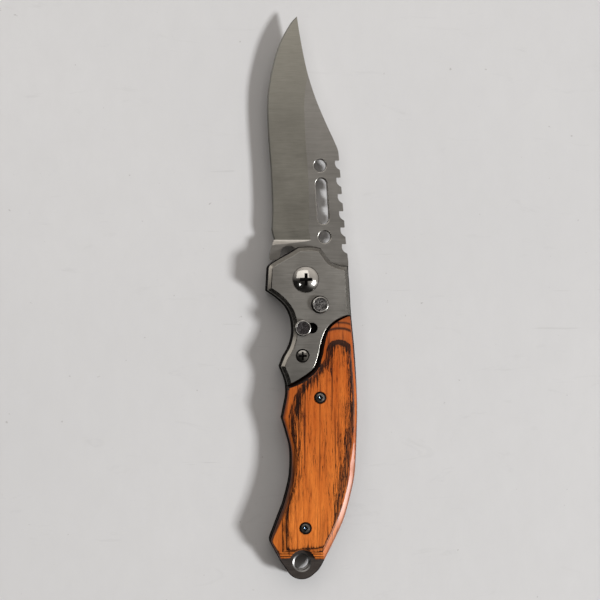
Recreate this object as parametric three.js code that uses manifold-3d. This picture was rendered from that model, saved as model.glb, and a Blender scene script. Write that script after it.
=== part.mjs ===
import * as THREE from 'three';
import { mergeVertices } from 'three/addons/utils/BufferGeometryUtils.js';
import Module from 'manifold-3d';

// Side-opening push-button pocket knife, drawn open, lying on its rear face.
// Millimetres. Drawn about the pivot, +Y towards the tip, +X towards the spine, +Z up.

const wasm = await Module();
wasm.setup();

const rad = THREE.MathUtils.degToRad;
const degrees = THREE.MathUtils.radToDeg;
const radial = (r, angle) => [r * Math.cos(rad(angle)), r * Math.sin(rad(angle))];

// Thicknesses of the stack, from the rear face up
const SIDE_T = 3.4;
const LINER_T = 1.2;
const GAP = 3.4;
const WASHER_T = 0.2;
const REAR_LINER_Z = SIDE_T;
const GAP_Z = REAR_LINER_Z + LINER_T;
const FRONT_LINER_Z = GAP_Z + GAP;
const FRONT_Z = FRONT_LINER_Z + LINER_T;
const TOTAL_T = FRONT_Z + SIDE_T;
const BLADE_Z = GAP_Z + WASHER_T;
const BLADE_T = GAP - 2 * WASHER_T;

// Clearances
const RUN = 0.08;
const SLIDE_FIT = 0.1;
const SLIP = 0.05;
const EDGE_ROOM = 0.6;
const TIP_ROOM = 0.6;
const SEAM_GAP = 0.3;
const STOP_GAP = 0.2;

// Pivot
const BARREL_R = 2.9;
const PIVOT_HOLE_R = BARREL_R + RUN;
const DOME_R = 4.85;
const DOME_SEAT = 0.6;
const DOME_RISE = 1.2;
const NUT_R = 4.6;
const NUT_T = 1.0;
const PIVOT_THREAD_R = 1.7;

// Blade
const TANG_R = 9.9;
const HEEL_Y = 7.5;
const SHOULDER_Y = -4.3;
const SPINE_LOW_X = 16.9;
const EDGE_HALF = 0.2;
const GRIND_W = 14.2;
const GRIND_Y = 15.3;
const PLUNGE_Y = 13.7;
const TIP = [-2.8, 101.2];
const TOOTH_TOPS = [13.7, 20.1, 26.4, 33.0, 39.3, 45.85];
const TOOTH_DEPTH = 1.6;
const TOOTH_OPEN = 3.65;
const WINDOW_R = 2.35;
const SLOT_R = 2.15;
const WINDOWS = [[6.05, 43.8], [7.8, 16.4]];
const SLOT_ENDS = [[6.5, 36.8], [7.3, 23.5]];

// Lock: a stepped plunger under a round button, its neck just clear of the round tang
const NECK_R = 0.9;
const NECK_ROOM = 0.26;
const BUTTON_ANGLE = -60.2;
const BUTTON = radial(TANG_R + NECK_ROOM + NECK_R, BUTTON_ANGLE);
const BUTTON_R = 3.15;
const BUTTON_HOLE_R = BUTTON_R + SLIDE_FIT;
const BUTTON_TOP = TOTAL_T + 1.8;
const BUTTON_STEM_R = 2.0;
const COLLAR_R = 2.6;
const COLLAR_HOLE_R = COLLAR_R + SLIDE_FIT;
const COLLAR_TOP = GAP_Z - 0.1;
const COLLAR_H = 2.1;
const COLLAR_WALL = 0.6;
const POCKET_FLOOR = 0.6;
const OPEN_NOTCH_R = 2.8;
const SHUT_NOTCH = [-BUTTON[0] - 0.6, -BUTTON[1] + 0.2];
const SHUT_NOTCH_R = 3.3;
const CAP_SHOULDER = TOTAL_T - 0.4;
const CAP_FOOT = TOTAL_T - 1.7;

// Stop pin, under the tang's shoulder and clear of its round part
const STOP_R = 1.4;
const STOP_ROOM = 2.07;
const STOP_Y = SHOULDER_Y - STOP_GAP - STOP_R;
const STOP = [Math.sqrt((TANG_R + STOP_ROOM + STOP_R) ** 2 - STOP_Y ** 2), STOP_Y];

// Safety: a round knob on a flat slide under the front bolster
const KNOB = [-1.15, -18.5];
const KNOB_R = 3.1;
const KNOB_T = 1.55;
const KNOB_LIFT = 0.15;
const SAFETY_TRAVEL = 3.5;
const SLOT_HALF = 2.05;
const KNOB_STEM_R = SLOT_HALF - SLIDE_FIT;
const KNOB_TENON_R = 0.95;
const SLIDE_T = 1.2;

// Screws, pins and the lanyard hole
const BOLSTER_SCREW = [-1.15, -29.1];
const BOLSTER_SCREW_R = 2.4;
const SCALE_SCREWS = [[5.55, -45.1], [-0.1, -94.8]];
const SCALE_SCREW_R = 2.2;
const SHANK_R = 1.1;
const LANYARD = [-1.1, -108.35];
const LANYARD_R = 3.5;
const LUG_R = 6.45;
const TAIL_R = 5.2;
const SPACER_PINS = [[16.0, -20], [17.1, -60], [13.1, -88], [-6.5, -103.8]];
const SPACER_PIN_R = 1.0;
const SPACER_INSET = 0.35;

// Main spring
const COIL_R = 4.4;
const WIRE_R = 0.5;
const COIL_TURNS = 1.75;
const COIL_POCKET_R = 5.8;
const WASHER_HOLE_R = COIL_POCKET_R + 0.2;
const WASHER_BAND = 2.1;
const WASHER_R = WASHER_HOLE_R + WASHER_BAND;
const COIL_POCKET_Z = 1.6;
const FIXED_LEG_ANGLE = 90;
const LEG_BEND = 14;
const FIXED_LEG_R = 7.6;

const v2 = (p) => new THREE.Vector2(p[0], p[1]);
const polar = (c, r, angle) => v2(radial(r, angle)).add(v2(c));

// A smooth run through a few knots, without its last point
function run(knots, perSpan) {
  const curve = new THREE.SplineCurve(knots.map(v2));
  return curve.getPoints((knots.length - 1) * perSpan).slice(0, -1);
}

function arc(centre, r, from, to, steps) {
  return Array.from({ length: steps + 1 }, (_, i) =>
    polar(centre, r, from + ((to - from) * i) / steps));
}

// Where two circles about c1 and c2 meet: the direction from c1, left and right of the line to c2
function meeting(r1, c2, r2) {
  const d = Math.hypot(c2[0], c2[1]);
  const along = (r1 * r1 - r2 * r2 + d * d) / (2 * d);
  const middle = degrees(Math.atan2(c2[1], c2[0]));
  const half = degrees(Math.acos(along / r1));
  return [middle - half, middle + half];
}

const angleAbout = (centre, p) => degrees(Math.atan2(p.y - centre[1], p.x - centre[0]));

// A counterclockwise outline moved inwards by d; edges that vanish close up to a corner
function inset(points, d) {
  if (d === 0) return points.map((p) => p.clone());
  const n = points.length;
  const edges = points.map((p, i) => {
    const dir = points[(i + 1) % n].clone().sub(p).normalize();
    const at = new THREE.Vector2(p.x - dir.y * d, p.y + dir.x * d);
    return { at, dir, alive: true };
  });
  const near = (i, step) => {
    let k = (i + n) % n;
    while (!edges[k].alive) k = (k + step + n) % n;
    return edges[k];
  };
  for (;;) {
    const corners = points.map((_, i) => {
      const a = near(i - 1, -1);
      const b = near(i, 1);
      const turn = a.dir.x * b.dir.y - a.dir.y * b.dir.x;
      if (Math.abs(turn) < 1e-3) return b.at.clone();
      const w = b.at.clone().sub(a.at);
      return a.at.clone().addScaledVector(a.dir, (w.x * b.dir.y - w.y * b.dir.x) / turn);
    });
    let worst = -1e-9;
    let gone = -1;
    edges.forEach((edge, i) => {
      const length = corners[(i + 1) % n].clone().sub(corners[i]).dot(edge.dir);
      if (edge.alive && length < worst) {
        worst = length;
        gone = i;
      }
    });
    if (gone < 0) return corners;
    edges[gone].alive = false;
  }
}

// Closed solid from an outline and its insets at rising heights: [z, inset] per layer
function layered(outline, layers) {
  const n = outline.length;
  const rings = layers.map(([, d]) => inset(outline, d));
  const position = rings.flatMap((ring, k) => ring.flatMap((p) => [p.x, p.y, layers[k][0]]));
  const index = [];
  for (let k = 0; k < layers.length - 1; k++) {
    for (let i = 0; i < n; i++) {
      const a = k * n + i;
      const b = k * n + ((i + 1) % n);
      index.push(a, b, b + n, a, b + n, a + n);
    }
  }
  const cap = (k, up) => {
    const kept = [...rings[k].keys()].filter((i) =>
      rings[k][i].distanceTo(rings[k][(i + n - 1) % n]) > 1e-4);
    const faces = THREE.ShapeUtils.triangulateShape(kept.map((i) => rings[k][i]), []);
    for (const [a, b, c] of faces) {
      const face = [a, b, c].map((i) => k * n + kept[i]);
      index.push(...(up ? face : face.reverse()));
    }
  };
  cap(0, false);
  cap(layers.length - 1, true);
  const geometry = new THREE.BufferGeometry();
  geometry.setAttribute('position', new THREE.Float32BufferAttribute(position, 3));
  geometry.setIndex(index);
  return geometry;
}

function prism(outline, z0, z1) {
  const shape = new THREE.Shape(outline);
  const geometry = new THREE.ExtrudeGeometry(shape, { depth: z1 - z0, bevelEnabled: false });
  return geometry.translate(0, 0, z0);
}

// Solid of revolution about a vertical axis, from [radius, z] pairs
function turned(profile, centre, steps = 24) {
  const geometry = new THREE.LatheGeometry(profile.map(v2), steps);
  return geometry.rotateX(Math.PI / 2).translate(centre[0], centre[1], 0);
}

const disc = (centre, r, z0, z1, steps = 24) =>
  turned([[0, z0], [r, z0], [r, z1], [0, z1]], centre, steps);

function ring(inner, outer, z0, z1) {
  return turned([[inner, z0], [outer, z0], [outer, z1], [inner, z1], [inner, z0]], [0, 0]);
}

function stadium(a, b, r, z0, z1) {
  const along = angleAbout(a, v2(b));
  const outline = [...arc(a, r, along + 90, along + 270, 8), ...arc(b, r, along - 90, along + 90, 8)];
  return prism(outline, z0, z1);
}

// Shapes join, subtract and intersect as closed solids
function solid(geometry) {
  const bare = geometry.clone();
  bare.deleteAttribute('normal');
  bare.deleteAttribute('uv');
  const welded = mergeVertices(bare, 1e-4);
  const corner = welded.getAttribute('position');
  const faces = [];
  let volume = 0;
  const all = welded.getIndex().array;
  const at = (i) => new THREE.Vector3().fromBufferAttribute(corner, i);
  for (let i = 0; i < all.length; i += 3) {
    const [a, b, c] = [all[i], all[i + 1], all[i + 2]];
    if (a !== b && b !== c && c !== a) {
      faces.push([a, b, c]);
      volume += at(a).dot(at(b).cross(at(c)));
    }
  }
  const triVerts = Uint32Array.from(faces.flatMap((f) => (volume < 0 ? f.reverse() : f)));
  const vertProperties = Float32Array.from(corner.array);
  return new wasm.Manifold(new wasm.Mesh({ numProp: 3, vertProperties, triVerts }));
}

const less = (body, ...cutters) =>
  cutters.reduce((left, cutter) => left.subtract(solid(cutter)), body);

function sweep(points, r, steps) {
  const path = new THREE.CatmullRomCurve3(points);
  const section = new THREE.Shape(arc([0, 0], r, 0, 288, 4));
  const options = { steps, extrudePath: path, bevelEnabled: false };
  return new THREE.ExtrudeGeometry(section, options);
}

// Colours and finishes
const finish = (color, roughness, metalness) =>
  new THREE.MeshStandardMaterial({ color, roughness, metalness });
const BLADE_STEEL = () => finish(0x77746a, 0.38, 1);
const BRUSHED_STEEL = () => finish(0x74706b, 0.36, 1);
const BRIGHT_STEEL = () => finish(0xa8a6a0, 0.22, 1);
const DARK_STEEL = () => finish(0x423d3a, 0.42, 1);
const BLACK_STEEL = () => finish(0x16130f, 0.4, 1);
const SPRING_STEEL = () => finish(0x8a8a88, 0.3, 1);
const BRASS = () => finish(0xb58d45, 0.35, 1);
const WOOD = () => finish(0xc26a30, 0.45, 0);

const knife = new THREE.Group();
knife.name = 'pocket_knife';

function add(name, body, material) {
  const mesh = body.getMesh();
  const geometry = new THREE.BufferGeometry();
  const position = new THREE.Float32BufferAttribute(mesh.vertProperties, mesh.numProp);
  geometry.setAttribute('position', position);
  geometry.setIndex(new THREE.Uint32BufferAttribute(mesh.triVerts, 1));
  geometry.computeVertexNormals();
  const made = new THREE.Mesh(geometry, material);
  made.name = name;
  knife.add(made);
}

// Outline of the whole handle, counterclockwise from the guard corner
const GUARD = [-14.8, -4.2];
const FIRST_POINT = [-9.65, -33.2];
const SECOND_POINT = [-8.6, -52.8];
const BUTT_POINT = [-13.7, -99.7];
const TOP_RIGHT = [16.6, 5.3];
const CREST_RIGHT = [6.0, 12.1];
const CREST_LEFT = [-2.55, 12.45];
const GUARD_TOP = [-14.35, 4.4];
const handle = [
  ...run([GUARD, [-10.7, -7], [-7.25, -10.5], [-5.3, -14.8], [-4.8, -20.2], [-5.9, -25.2],
    [-8.2, -29.5], FIRST_POINT], 2),
  ...run([FIRST_POINT, [-7.4, -38.8], [-6.9, -43.5], [-7.8, -49], SECOND_POINT], 2),
  ...run([SECOND_POINT, [-6.9, -58.2], [-5.3, -64.4], [-5, -70.5], [-5.6, -77], [-7.8, -85.3],
    [-10.2, -91.2], BUTT_POINT], 2),
  v2(BUTT_POINT),
  v2([-9.2, -108]),
  ...arc(LANYARD, LUG_R, 205, 310, 10),
  ...run([[5.1, -111.5], [6.4, -109.6], [7.9, -106.7], [11.9, -98.8], [15.2, -91.2],
    [18.0, -80.9], [19.4, -72.6], [20.1, -57.3], [20.2, -46], [19.3, -28.8], [17.9, -13.5],
    [17.2, -2.1], TOP_RIGHT], 2),
  ...run([TOP_RIGHT, [13.4, 5.5], [9.8, 7.2], [7, 10.85], CREST_RIGHT], 2),
  ...run([CREST_RIGHT, [2.4, 12.65], CREST_LEFT], 2),
  ...run([CREST_LEFT, [-6, 10.3], [-9.8, 8.2], [-13.4, 5.9], GUARD_TOP], 2),
  v2(GUARD_TOP),
];

// Seam between bolster and scale, right to left, running out past both sides
const seam = run([[26, -13.4], [18, -13.5], [15.7, -13.7], [11.2, -15.8], [7.7, -19.2],
  [5.8, -24.2], [4.8, -29.1], [3, -33.7], [-1, -37.1], [-5.8, -39.8], [-16, -44]], 2);
const bolsterField = [...seam, v2([-30, -44]), v2([-30, 30]), v2([30, 30]), v2([30, -13.4])].reverse();
const scaleField = [v2([-30, -130]), v2([30, -130]), v2([30, -13.4]), ...seam, v2([-30, -44])];
const tailField = [v2([-30, -112]), v2([-9.4, -106.6]), ...arc(LANYARD, TAIL_R, 155, 15, 8),
  v2([7.5, -106.9]), v2([30, -106.9]), v2([30, 0]), v2([-30, 0])];

const mirrored = (layers) => layers.map(([z, d]) => [TOTAL_T - z, d]).reverse();
const BOLSTER_EDGE = [[FRONT_Z, 0], [TOTAL_T - 1.2, 0], [TOTAL_T, 1.6]];
const BOLSTER_RIM = [[FRONT_Z, 0], [TOTAL_T - 0.35, 0], [TOTAL_T, 0.35]];
const SCALE_EDGE = [[FRONT_Z, 0], [TOTAL_T - 2.3, 0], [TOTAL_T - 1.3, 0.45], [TOTAL_T - 0.55, 1.25],
  [TOTAL_T - 0.12, 2.1], [TOTAL_T, 3]];
const SCALE_RIM = [[FRONT_Z, SEAM_GAP], [TOTAL_T - 1.2, SEAM_GAP], [TOTAL_T, 1.6]];
const TAIL_RIM = [[FRONT_Z, 0], [TOTAL_T - 0.8, 0], [TOTAL_T - 0.25, 0.25], [TOTAL_T, 0.8]];

const sideOf = (layers, front) => (front ? layers : mirrored(layers));
const bolster = (front) => solid(layered(handle, sideOf(BOLSTER_EDGE, front)))
  .intersect(solid(layered(bolsterField, sideOf(BOLSTER_RIM, front))));
const scale = (front) => solid(layered(handle, sideOf(SCALE_EDGE, front)))
  .intersect(solid(layered(scaleField, sideOf(SCALE_RIM, front))))
  .intersect(solid(layered(tailField, sideOf(TAIL_RIM, front))));

// Countersunk screw, and the hole it sits in; the rear one is turned over
const SCREW_SINK = 0.15;
const SCREW_LAND = 0.35;
const SCREW_CONE = 1.1;
function screwProfile(headR, room, front) {
  const top = TOTAL_T - SCREW_SINK;
  const foot = FRONT_LINER_Z;
  const land = top - SCREW_LAND;
  const lid = room ? TOTAL_T + 1 : top;
  const profile = [[0, foot - room], [SHANK_R + room, foot - room],
    [SHANK_R + room, land - SCREW_CONE], [headR + room, land], [headR + room, lid], [0, lid]];
  return front ? profile : profile.map(([r, z]) => [r, TOTAL_T - z]);
}
function cross(centre, size, z0, z1) {
  const w = size * 0.24;
  const q = [[size, -w], [size, w], [w, w]];
  const corners = [0, 90, 180, 270].flatMap((turn) =>
    q.map(([x, y]) => v2([x, y]).rotateAround(v2([0, 0]), rad(turn)).add(v2(centre))));
  return prism(corners, z0, z1);
}
function screw(centre, headR, front) {
  const recess = front ? [TOTAL_T - SCREW_SINK - 0.7, TOTAL_T] : [0, SCREW_SINK + 0.7];
  const body = solid(turned(screwProfile(headR, 0, front), centre, 20));
  return less(body, cross(centre, headR * 0.6, ...recess));
}
const screwHole = (centre, headR, front) =>
  turned(screwProfile(headR, RUN, front), centre, 20);

// Safety slide and the room it travels in
const slideOutline = [[-3, -20.4], [0.9, -20.4], [0.9, -16.2], [-0.2, -15.4], [-0.2, -8.6],
  [-2.2, -8.6], [-3, -10.2]].map(v2);
const slideRoom = [[-3.2, -20.6], [0.9 + SAFETY_TRAVEL + 0.2, -20.6],
  [0.9 + SAFETY_TRAVEL + 0.2, -15.2], [3.6, -15.2], [3.6, -8.4], [-3.2, -8.4]].map(v2);

add('front_bolster', less(bolster(true),
  disc([0, 0], PIVOT_HOLE_R, FRONT_Z - 1, TOTAL_T + 1),
  disc([0, 0], DOME_R + 0.2, TOTAL_T - DOME_SEAT, TOTAL_T + 1, 32),
  disc(BUTTON, BUTTON_HOLE_R, FRONT_Z - 1, TOTAL_T + 1),
  prism(slideRoom, FRONT_Z - 1, FRONT_Z + SLIDE_T + 0.2),
  stadium(KNOB, [KNOB[0] + SAFETY_TRAVEL + 0.2, KNOB[1]], SLOT_HALF, FRONT_Z, TOTAL_T + 1),
  screwHole(BOLSTER_SCREW, BOLSTER_SCREW_R, true)), BRUSHED_STEEL());

const legDirection = polar([0, 0], 1, FIXED_LEG_ANGLE);
const legRoom = stadium([0, 0], [legDirection.x * FIXED_LEG_R, legDirection.y * FIXED_LEG_R],
  WIRE_R + 0.25, COIL_POCKET_Z, SIDE_T + 1);
add('rear_bolster', less(bolster(false),
  disc([0, 0], PIVOT_HOLE_R, -1, SIDE_T + 1),
  disc([0, 0], NUT_R + RUN, -1, NUT_T, 32),
  disc([0, 0], COIL_POCKET_R, COIL_POCKET_Z, SIDE_T + 1, 32),
  legRoom,
  disc(BUTTON, COLLAR_HOLE_R, POCKET_FLOOR, SIDE_T + 1),
  screwHole(BOLSTER_SCREW, BOLSTER_SCREW_R, false)), BRUSHED_STEEL());

for (const front of [true, false]) {
  const holes = SCALE_SCREWS.map((at) => screwHole(at, SCALE_SCREW_R, front));
  add(front ? 'front_scale' : 'rear_scale', less(scale(front), ...holes), WOOD());
}

// Liners
const linerHoles = (z) => [
  disc(STOP, STOP_R + SLIP, z - 1, z + LINER_T + 1),
  disc(LANYARD, LANYARD_R, z - 1, z + LINER_T + 1, 28),
  ...SPACER_PINS.map((at) => disc(at, SPACER_PIN_R + SLIP, z - 1, z + LINER_T + 1, 12)),
  ...[BOLSTER_SCREW, ...SCALE_SCREWS].map((at) =>
    disc(at, SHANK_R + SLIP, z - 1, z + LINER_T + 1, 20)),
];
add('front_liner', less(solid(prism(handle, FRONT_LINER_Z, FRONT_Z)),
  ...linerHoles(FRONT_LINER_Z),
  disc([0, 0], PIVOT_HOLE_R, FRONT_LINER_Z - 1, FRONT_Z + 1),
  disc(BUTTON, NECK_R + SLIDE_FIT, FRONT_LINER_Z - 1, FRONT_Z + 1)), DARK_STEEL());
add('rear_liner', less(solid(prism(handle, REAR_LINER_Z, GAP_Z)),
  ...linerHoles(REAR_LINER_Z),
  disc([0, 0], COIL_POCKET_R, REAR_LINER_Z - 1, GAP_Z + 1, 32),
  disc(BUTTON, COLLAR_HOLE_R, REAR_LINER_Z - 1, GAP_Z + 1)), DARK_STEEL());

// Edge side of the blade from tip to heel, and its spine from heel to tip
const edgeSide = [
  ...run([TIP, [-5.4, 98.3], [-8.9, 92], [-11.2, 85.7], [-13.1, 77.6], [-14.1, 70.5],
    [-14.25, 63.3], [-13.7, 52.6], [-12.9, 42], [-12.4, 30.7], [-12.35, 24.9], [-12.6, 19.1]], 2),
  ...[[-12.6, 19.1], [-12.1, 16.8], [-11.6, GRIND_Y]].map(v2),
  ...run([[-11.6, GRIND_Y], [-12.4, 13.3], [-13.25, 9.5], [-13.25, HEEL_Y]], 2).slice(1),
  v2([-13.25, HEEL_Y]),
];
const spineX = (y) => (y < 13.7 ? 16.1 + ((13.7 - y) * 0.9) / 6.9 : 16.1 - ((y - 13.7) * 2.7) / 32.3);
function tooth(top) {
  const low = top - TOOTH_OPEN;
  const root = spineX(top) - TOOTH_DEPTH;
  return [[spineX(low), low], [root + 1.05, low + 0.55], [root + 0.4, low + 1.25],
    [root, low + 2.2], [root, top], [spineX(top), top]].map(v2);
}
const spine = [
  v2([SPINE_LOW_X, SHOULDER_Y]),
  v2([17, 6.8]),
  ...TOOTH_TOPS.flatMap(tooth),
  ...run([[13.3, 47.6], [12.9, 49.9], [11.5, 53.3], [8.05, 60.7], [4.2, 69.9], [0.94, 80.3],
    [-1.45, 92.2], TIP], 3),
];

// Tang: round about the pivot, with the two places where the lock plunger stands
const [openLeft, openRight] = meeting(TANG_R, BUTTON, OPEN_NOTCH_R);
const shutLeft = meeting(TANG_R, SHUT_NOTCH, SHUT_NOTCH_R)[1];
const shutMouth = angleAbout(SHUT_NOTCH, polar([0, 0], TANG_R, shutLeft));
const openFrom = angleAbout(BUTTON, polar([0, 0], TANG_R, openLeft));
const openTo = angleAbout(BUTTON, polar([0, 0], TANG_R, openRight));
const shoulderAngle = degrees(Math.asin(SHOULDER_Y / TANG_R));
const tang = [
  v2([-9.65, HEEL_Y]),
  ...arc(SHUT_NOTCH, SHUT_NOTCH_R, 205, shutMouth, 22),
  ...arc([0, 0], TANG_R, shutLeft, openLeft + 360, 16).slice(1),
  ...arc(BUTTON, OPEN_NOTCH_R, openFrom, openTo, 8).slice(1),
  ...arc([0, 0], TANG_R, openRight, shoulderAngle, 3).slice(1),
];

// Ground faces: a cutter over each side, flat from the grind line down to the edge
function grindCutter(side) {
  const middle = BLADE_Z + BLADE_T / 2;
  const slope = (BLADE_T / 2 - EDGE_HALF) / GRIND_W;
  const ends = edgeSide.filter((p) => p.y >= GRIND_Y).reverse();
  const start = { x: -16, y: PLUNGE_Y, depth: 0 };
  const stations = [start, ...ends.map((p) => ({ x: p.x, y: p.y, depth: 1 }))];
  const last = ends[ends.length - 1];
  stations.push({ x: last.x + 3, y: last.y + 3, depth: 1 });
  const position = [];
  const index = [];
  const out = 4;
  for (const { x, y, depth } of stations) {
    const half = depth ? EDGE_HALF - slope * out : BLADE_T / 2;
    const inner = depth ? x + GRIND_W : -11.6 + GRIND_W;
    position.push(x - out, y, middle + side * half, inner, y, middle + (side * BLADE_T) / 2);
    position.push(inner, y, middle + side * 3, x - out, y, middle + side * 3);
  }
  for (let k = 0; k < stations.length - 1; k++) {
    for (let i = 0; i < 4; i++) {
      const a = 4 * k + i;
      const b = 4 * k + ((i + 1) % 4);
      index.push(a, b, b + 4, a, b + 4, a + 4);
    }
  }
  const e = 4 * (stations.length - 1);
  index.push(0, 2, 1, 0, 3, 2, e, e + 1, e + 2, e, e + 2, e + 3);
  const geometry = new THREE.BufferGeometry();
  geometry.setAttribute('position', new THREE.Float32BufferAttribute(position, 3));
  geometry.setIndex(index);
  return geometry;
}

const bladeHole = (at, r, steps) => disc(at, r, BLADE_Z - 1, BLADE_Z + BLADE_T + 1, steps);
const movingLeg = polar([0, 0], COIL_R, FIXED_LEG_ANGLE + LEG_BEND + 360 * COIL_TURNS + 10);
add('blade', less(solid(prism([...edgeSide, ...tang, ...spine], BLADE_Z, BLADE_Z + BLADE_T)),
  grindCutter(1),
  grindCutter(-1),
  ...WINDOWS.map((at) => bladeHole(at, WINDOW_R, 24)),
  stadium(...SLOT_ENDS, SLOT_R, BLADE_Z - 1, BLADE_Z + BLADE_T + 1),
  bladeHole([0, 0], PIVOT_HOLE_R, 24),
  disc([movingLeg.x, movingLeg.y], WIRE_R + 0.35, BLADE_Z - 1, BLADE_Z + 1.8, 12)), BLADE_STEEL());

// Backspacer: fills the gap behind the closed blade and round the lanyard hole
const closedEdge = [...edgeSide].reverse().map((p) => new THREE.Vector2(-p.x, -p.y));
const tipReach = Math.hypot(TIP[0], TIP[1]) + TIP_ROOM;
const tipAngle = 180 + degrees(Math.atan2(TIP[1], TIP[0]));
const bladeRoom = [
  ...arc([0, 0], tipReach, 240, tipAngle + 1.2, 8),
  ...closedEdge.filter((p) => p.y > -98 && p.y < -17).reverse()
    .map((p) => new THREE.Vector2(p.x + EDGE_ROOM + Math.max(0, (-80 - p.y) * 0.03), p.y)),
  v2([13.25 + EDGE_ROOM, -15]),
  v2([13.25 + EDGE_ROOM, -9.4]),
  v2([30, -9.4]),
  v2([30, 30]),
  v2([-60, 30]),
];
add('backspacer', less(solid(prism(inset(handle, SPACER_INSET), GAP_Z, FRONT_LINER_Z)),
  prism(bladeRoom, GAP_Z - 1, FRONT_LINER_Z + 1),
  disc(LANYARD, LANYARD_R, GAP_Z - 1, FRONT_LINER_Z + 1, 28),
  ...SPACER_PINS.map((at) => disc(at, SPACER_PIN_R + SLIP, GAP_Z - 1, FRONT_LINER_Z + 1, 12))),
DARK_STEEL());
SPACER_PINS.forEach((at, i) => {
  add(`spacer_pin_${i + 1}`, solid(disc(at, SPACER_PIN_R, REAR_LINER_Z, FRONT_Z, 12)), BRIGHT_STEEL());
});
add('stop_pin', solid(disc(STOP, STOP_R, REAR_LINER_Z, FRONT_Z)), BRIGHT_STEEL());

// Pivot: a flanged barrel from the rear, a domed screw from the front, and two washers
add('pivot_barrel', solid(turned([[0, SCREW_SINK], [NUT_R, SCREW_SINK], [NUT_R, NUT_T],
  [BARREL_R, NUT_T], [BARREL_R, TOTAL_T - DOME_SEAT - 0.1],
  [PIVOT_THREAD_R + SLIP, TOTAL_T - DOME_SEAT - 0.1], [PIVOT_THREAD_R + SLIP, 2.4], [0, 2.4]],
[0, 0])), BRIGHT_STEEL());
const domeLow = TOTAL_T - DOME_SEAT;
const domeRim = TOTAL_T + 0.1;
const domeSteps = [0, 1, 2, 3, 4, 5].map((i) => {
  const a = (i / 5) * (Math.PI / 2);
  return [DOME_R * Math.cos(a), domeRim + DOME_RISE * Math.sin(a)];
});
add('pivot_screw', less(solid(turned([[0, 3], [PIVOT_THREAD_R, 3], [PIVOT_THREAD_R, domeLow],
  [DOME_R, domeLow], ...domeSteps.slice(0, 5), [0, domeRim + DOME_RISE]], [0, 0], 24)),
cross([0, 0], 2.3, TOTAL_T + 0.2, TOTAL_T + 3)), BRIGHT_STEEL());
const frontWasher = ring(PIVOT_HOLE_R, WASHER_R, FRONT_LINER_Z - WASHER_T, FRONT_LINER_Z);
add('front_washer', solid(frontWasher), BRASS());
add('rear_washer', solid(ring(WASHER_HOLE_R, WASHER_R, GAP_Z, BLADE_Z)), BRASS());

// Main spring: one wire, fixed leg in the rear bolster, coil, moving leg up into the tang
const coilLow = COIL_POCKET_Z + WIRE_R + 0.05;
const coilRise = GAP_Z - WIRE_R - 0.1 - coilLow;
const coilStart = FIXED_LEG_ANGLE + LEG_BEND;
const at3 = (r, angle, z) => new THREE.Vector3(...radial(r, angle), z);
const coilPoints = Array.from({ length: 15 }, (_, i) =>
  at3(COIL_R, coilStart + (360 * COIL_TURNS * i) / 14, coilLow + (coilRise * i) / 14));
const coilEnd = coilStart + 360 * COIL_TURNS;
add('main_spring', solid(sweep([
  at3(FIXED_LEG_R - 0.3, FIXED_LEG_ANGLE, coilLow),
  at3(6.1, FIXED_LEG_ANGLE, coilLow),
  at3(4.9, FIXED_LEG_ANGLE + 5, coilLow),
  ...coilPoints,
  at3(COIL_R, coilEnd + 8, GAP_Z - 0.1),
  at3(COIL_R, coilEnd + 10, BLADE_Z + 0.6),
  at3(COIL_R, coilEnd + 10, BLADE_Z + 1.6)], WIRE_R, 40)), SPRING_STEEL());

// Lock button: cap, plunger and return spring
const collarLow = COLLAR_TOP - COLLAR_H;
add('button_cap', solid(turned([[0, CAP_SHOULDER], [NECK_R + SLIP, CAP_SHOULDER],
  [NECK_R + SLIP, CAP_FOOT], [BUTTON_STEM_R, CAP_FOOT], [BUTTON_STEM_R, CAP_SHOULDER],
  [BUTTON_R, CAP_SHOULDER], [BUTTON_R, BUTTON_TOP - 0.3], [BUTTON_R - 0.3, BUTTON_TOP],
  [0, BUTTON_TOP]], BUTTON)), DARK_STEEL());
add('lock_plunger', solid(turned([[0, COLLAR_TOP - COLLAR_WALL],
  [COLLAR_R - COLLAR_WALL, COLLAR_TOP - COLLAR_WALL], [COLLAR_R - COLLAR_WALL, collarLow],
  [COLLAR_R, collarLow], [COLLAR_R, COLLAR_TOP], [NECK_R, COLLAR_TOP], [NECK_R, CAP_SHOULDER],
  [0, CAP_SHOULDER]], BUTTON)), BRIGHT_STEEL());
const BUTTON_WIRE_R = 0.2;
const BUTTON_CURLS = 3.5;
const buttonCoil = Array.from({ length: 29 }, (_, i) => {
  const low = POCKET_FLOOR + BUTTON_WIRE_R;
  const high = COLLAR_TOP - COLLAR_WALL - BUTTON_WIRE_R;
  const p = at3(1.5, (360 * BUTTON_CURLS * i) / 28, low + ((high - low) * i) / 28);
  return p.add(new THREE.Vector3(BUTTON[0], BUTTON[1], 0));
});
add('button_spring', solid(sweep(buttonCoil, BUTTON_WIRE_R, 28)), SPRING_STEEL());

// Safety: knob with its stem, and the slide it is riveted to
const knobLow = TOTAL_T + KNOB_LIFT;
add('safety_knob', solid(turned([[0, FRONT_Z], [KNOB_TENON_R, FRONT_Z],
  [KNOB_TENON_R, FRONT_Z + SLIDE_T], [KNOB_STEM_R, FRONT_Z + SLIDE_T], [KNOB_STEM_R, knobLow],
  [KNOB_R, knobLow], [KNOB_R, knobLow + KNOB_T - 0.3], [KNOB_R - 0.3, knobLow + KNOB_T],
  [0, knobLow + KNOB_T]], KNOB)), DARK_STEEL());
add('safety_slide', less(solid(prism(slideOutline, FRONT_Z, FRONT_Z + SLIDE_T)),
  disc(KNOB, KNOB_TENON_R + SLIP, FRONT_Z - 1, FRONT_Z + SLIDE_T + 1)), BRIGHT_STEEL());

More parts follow.
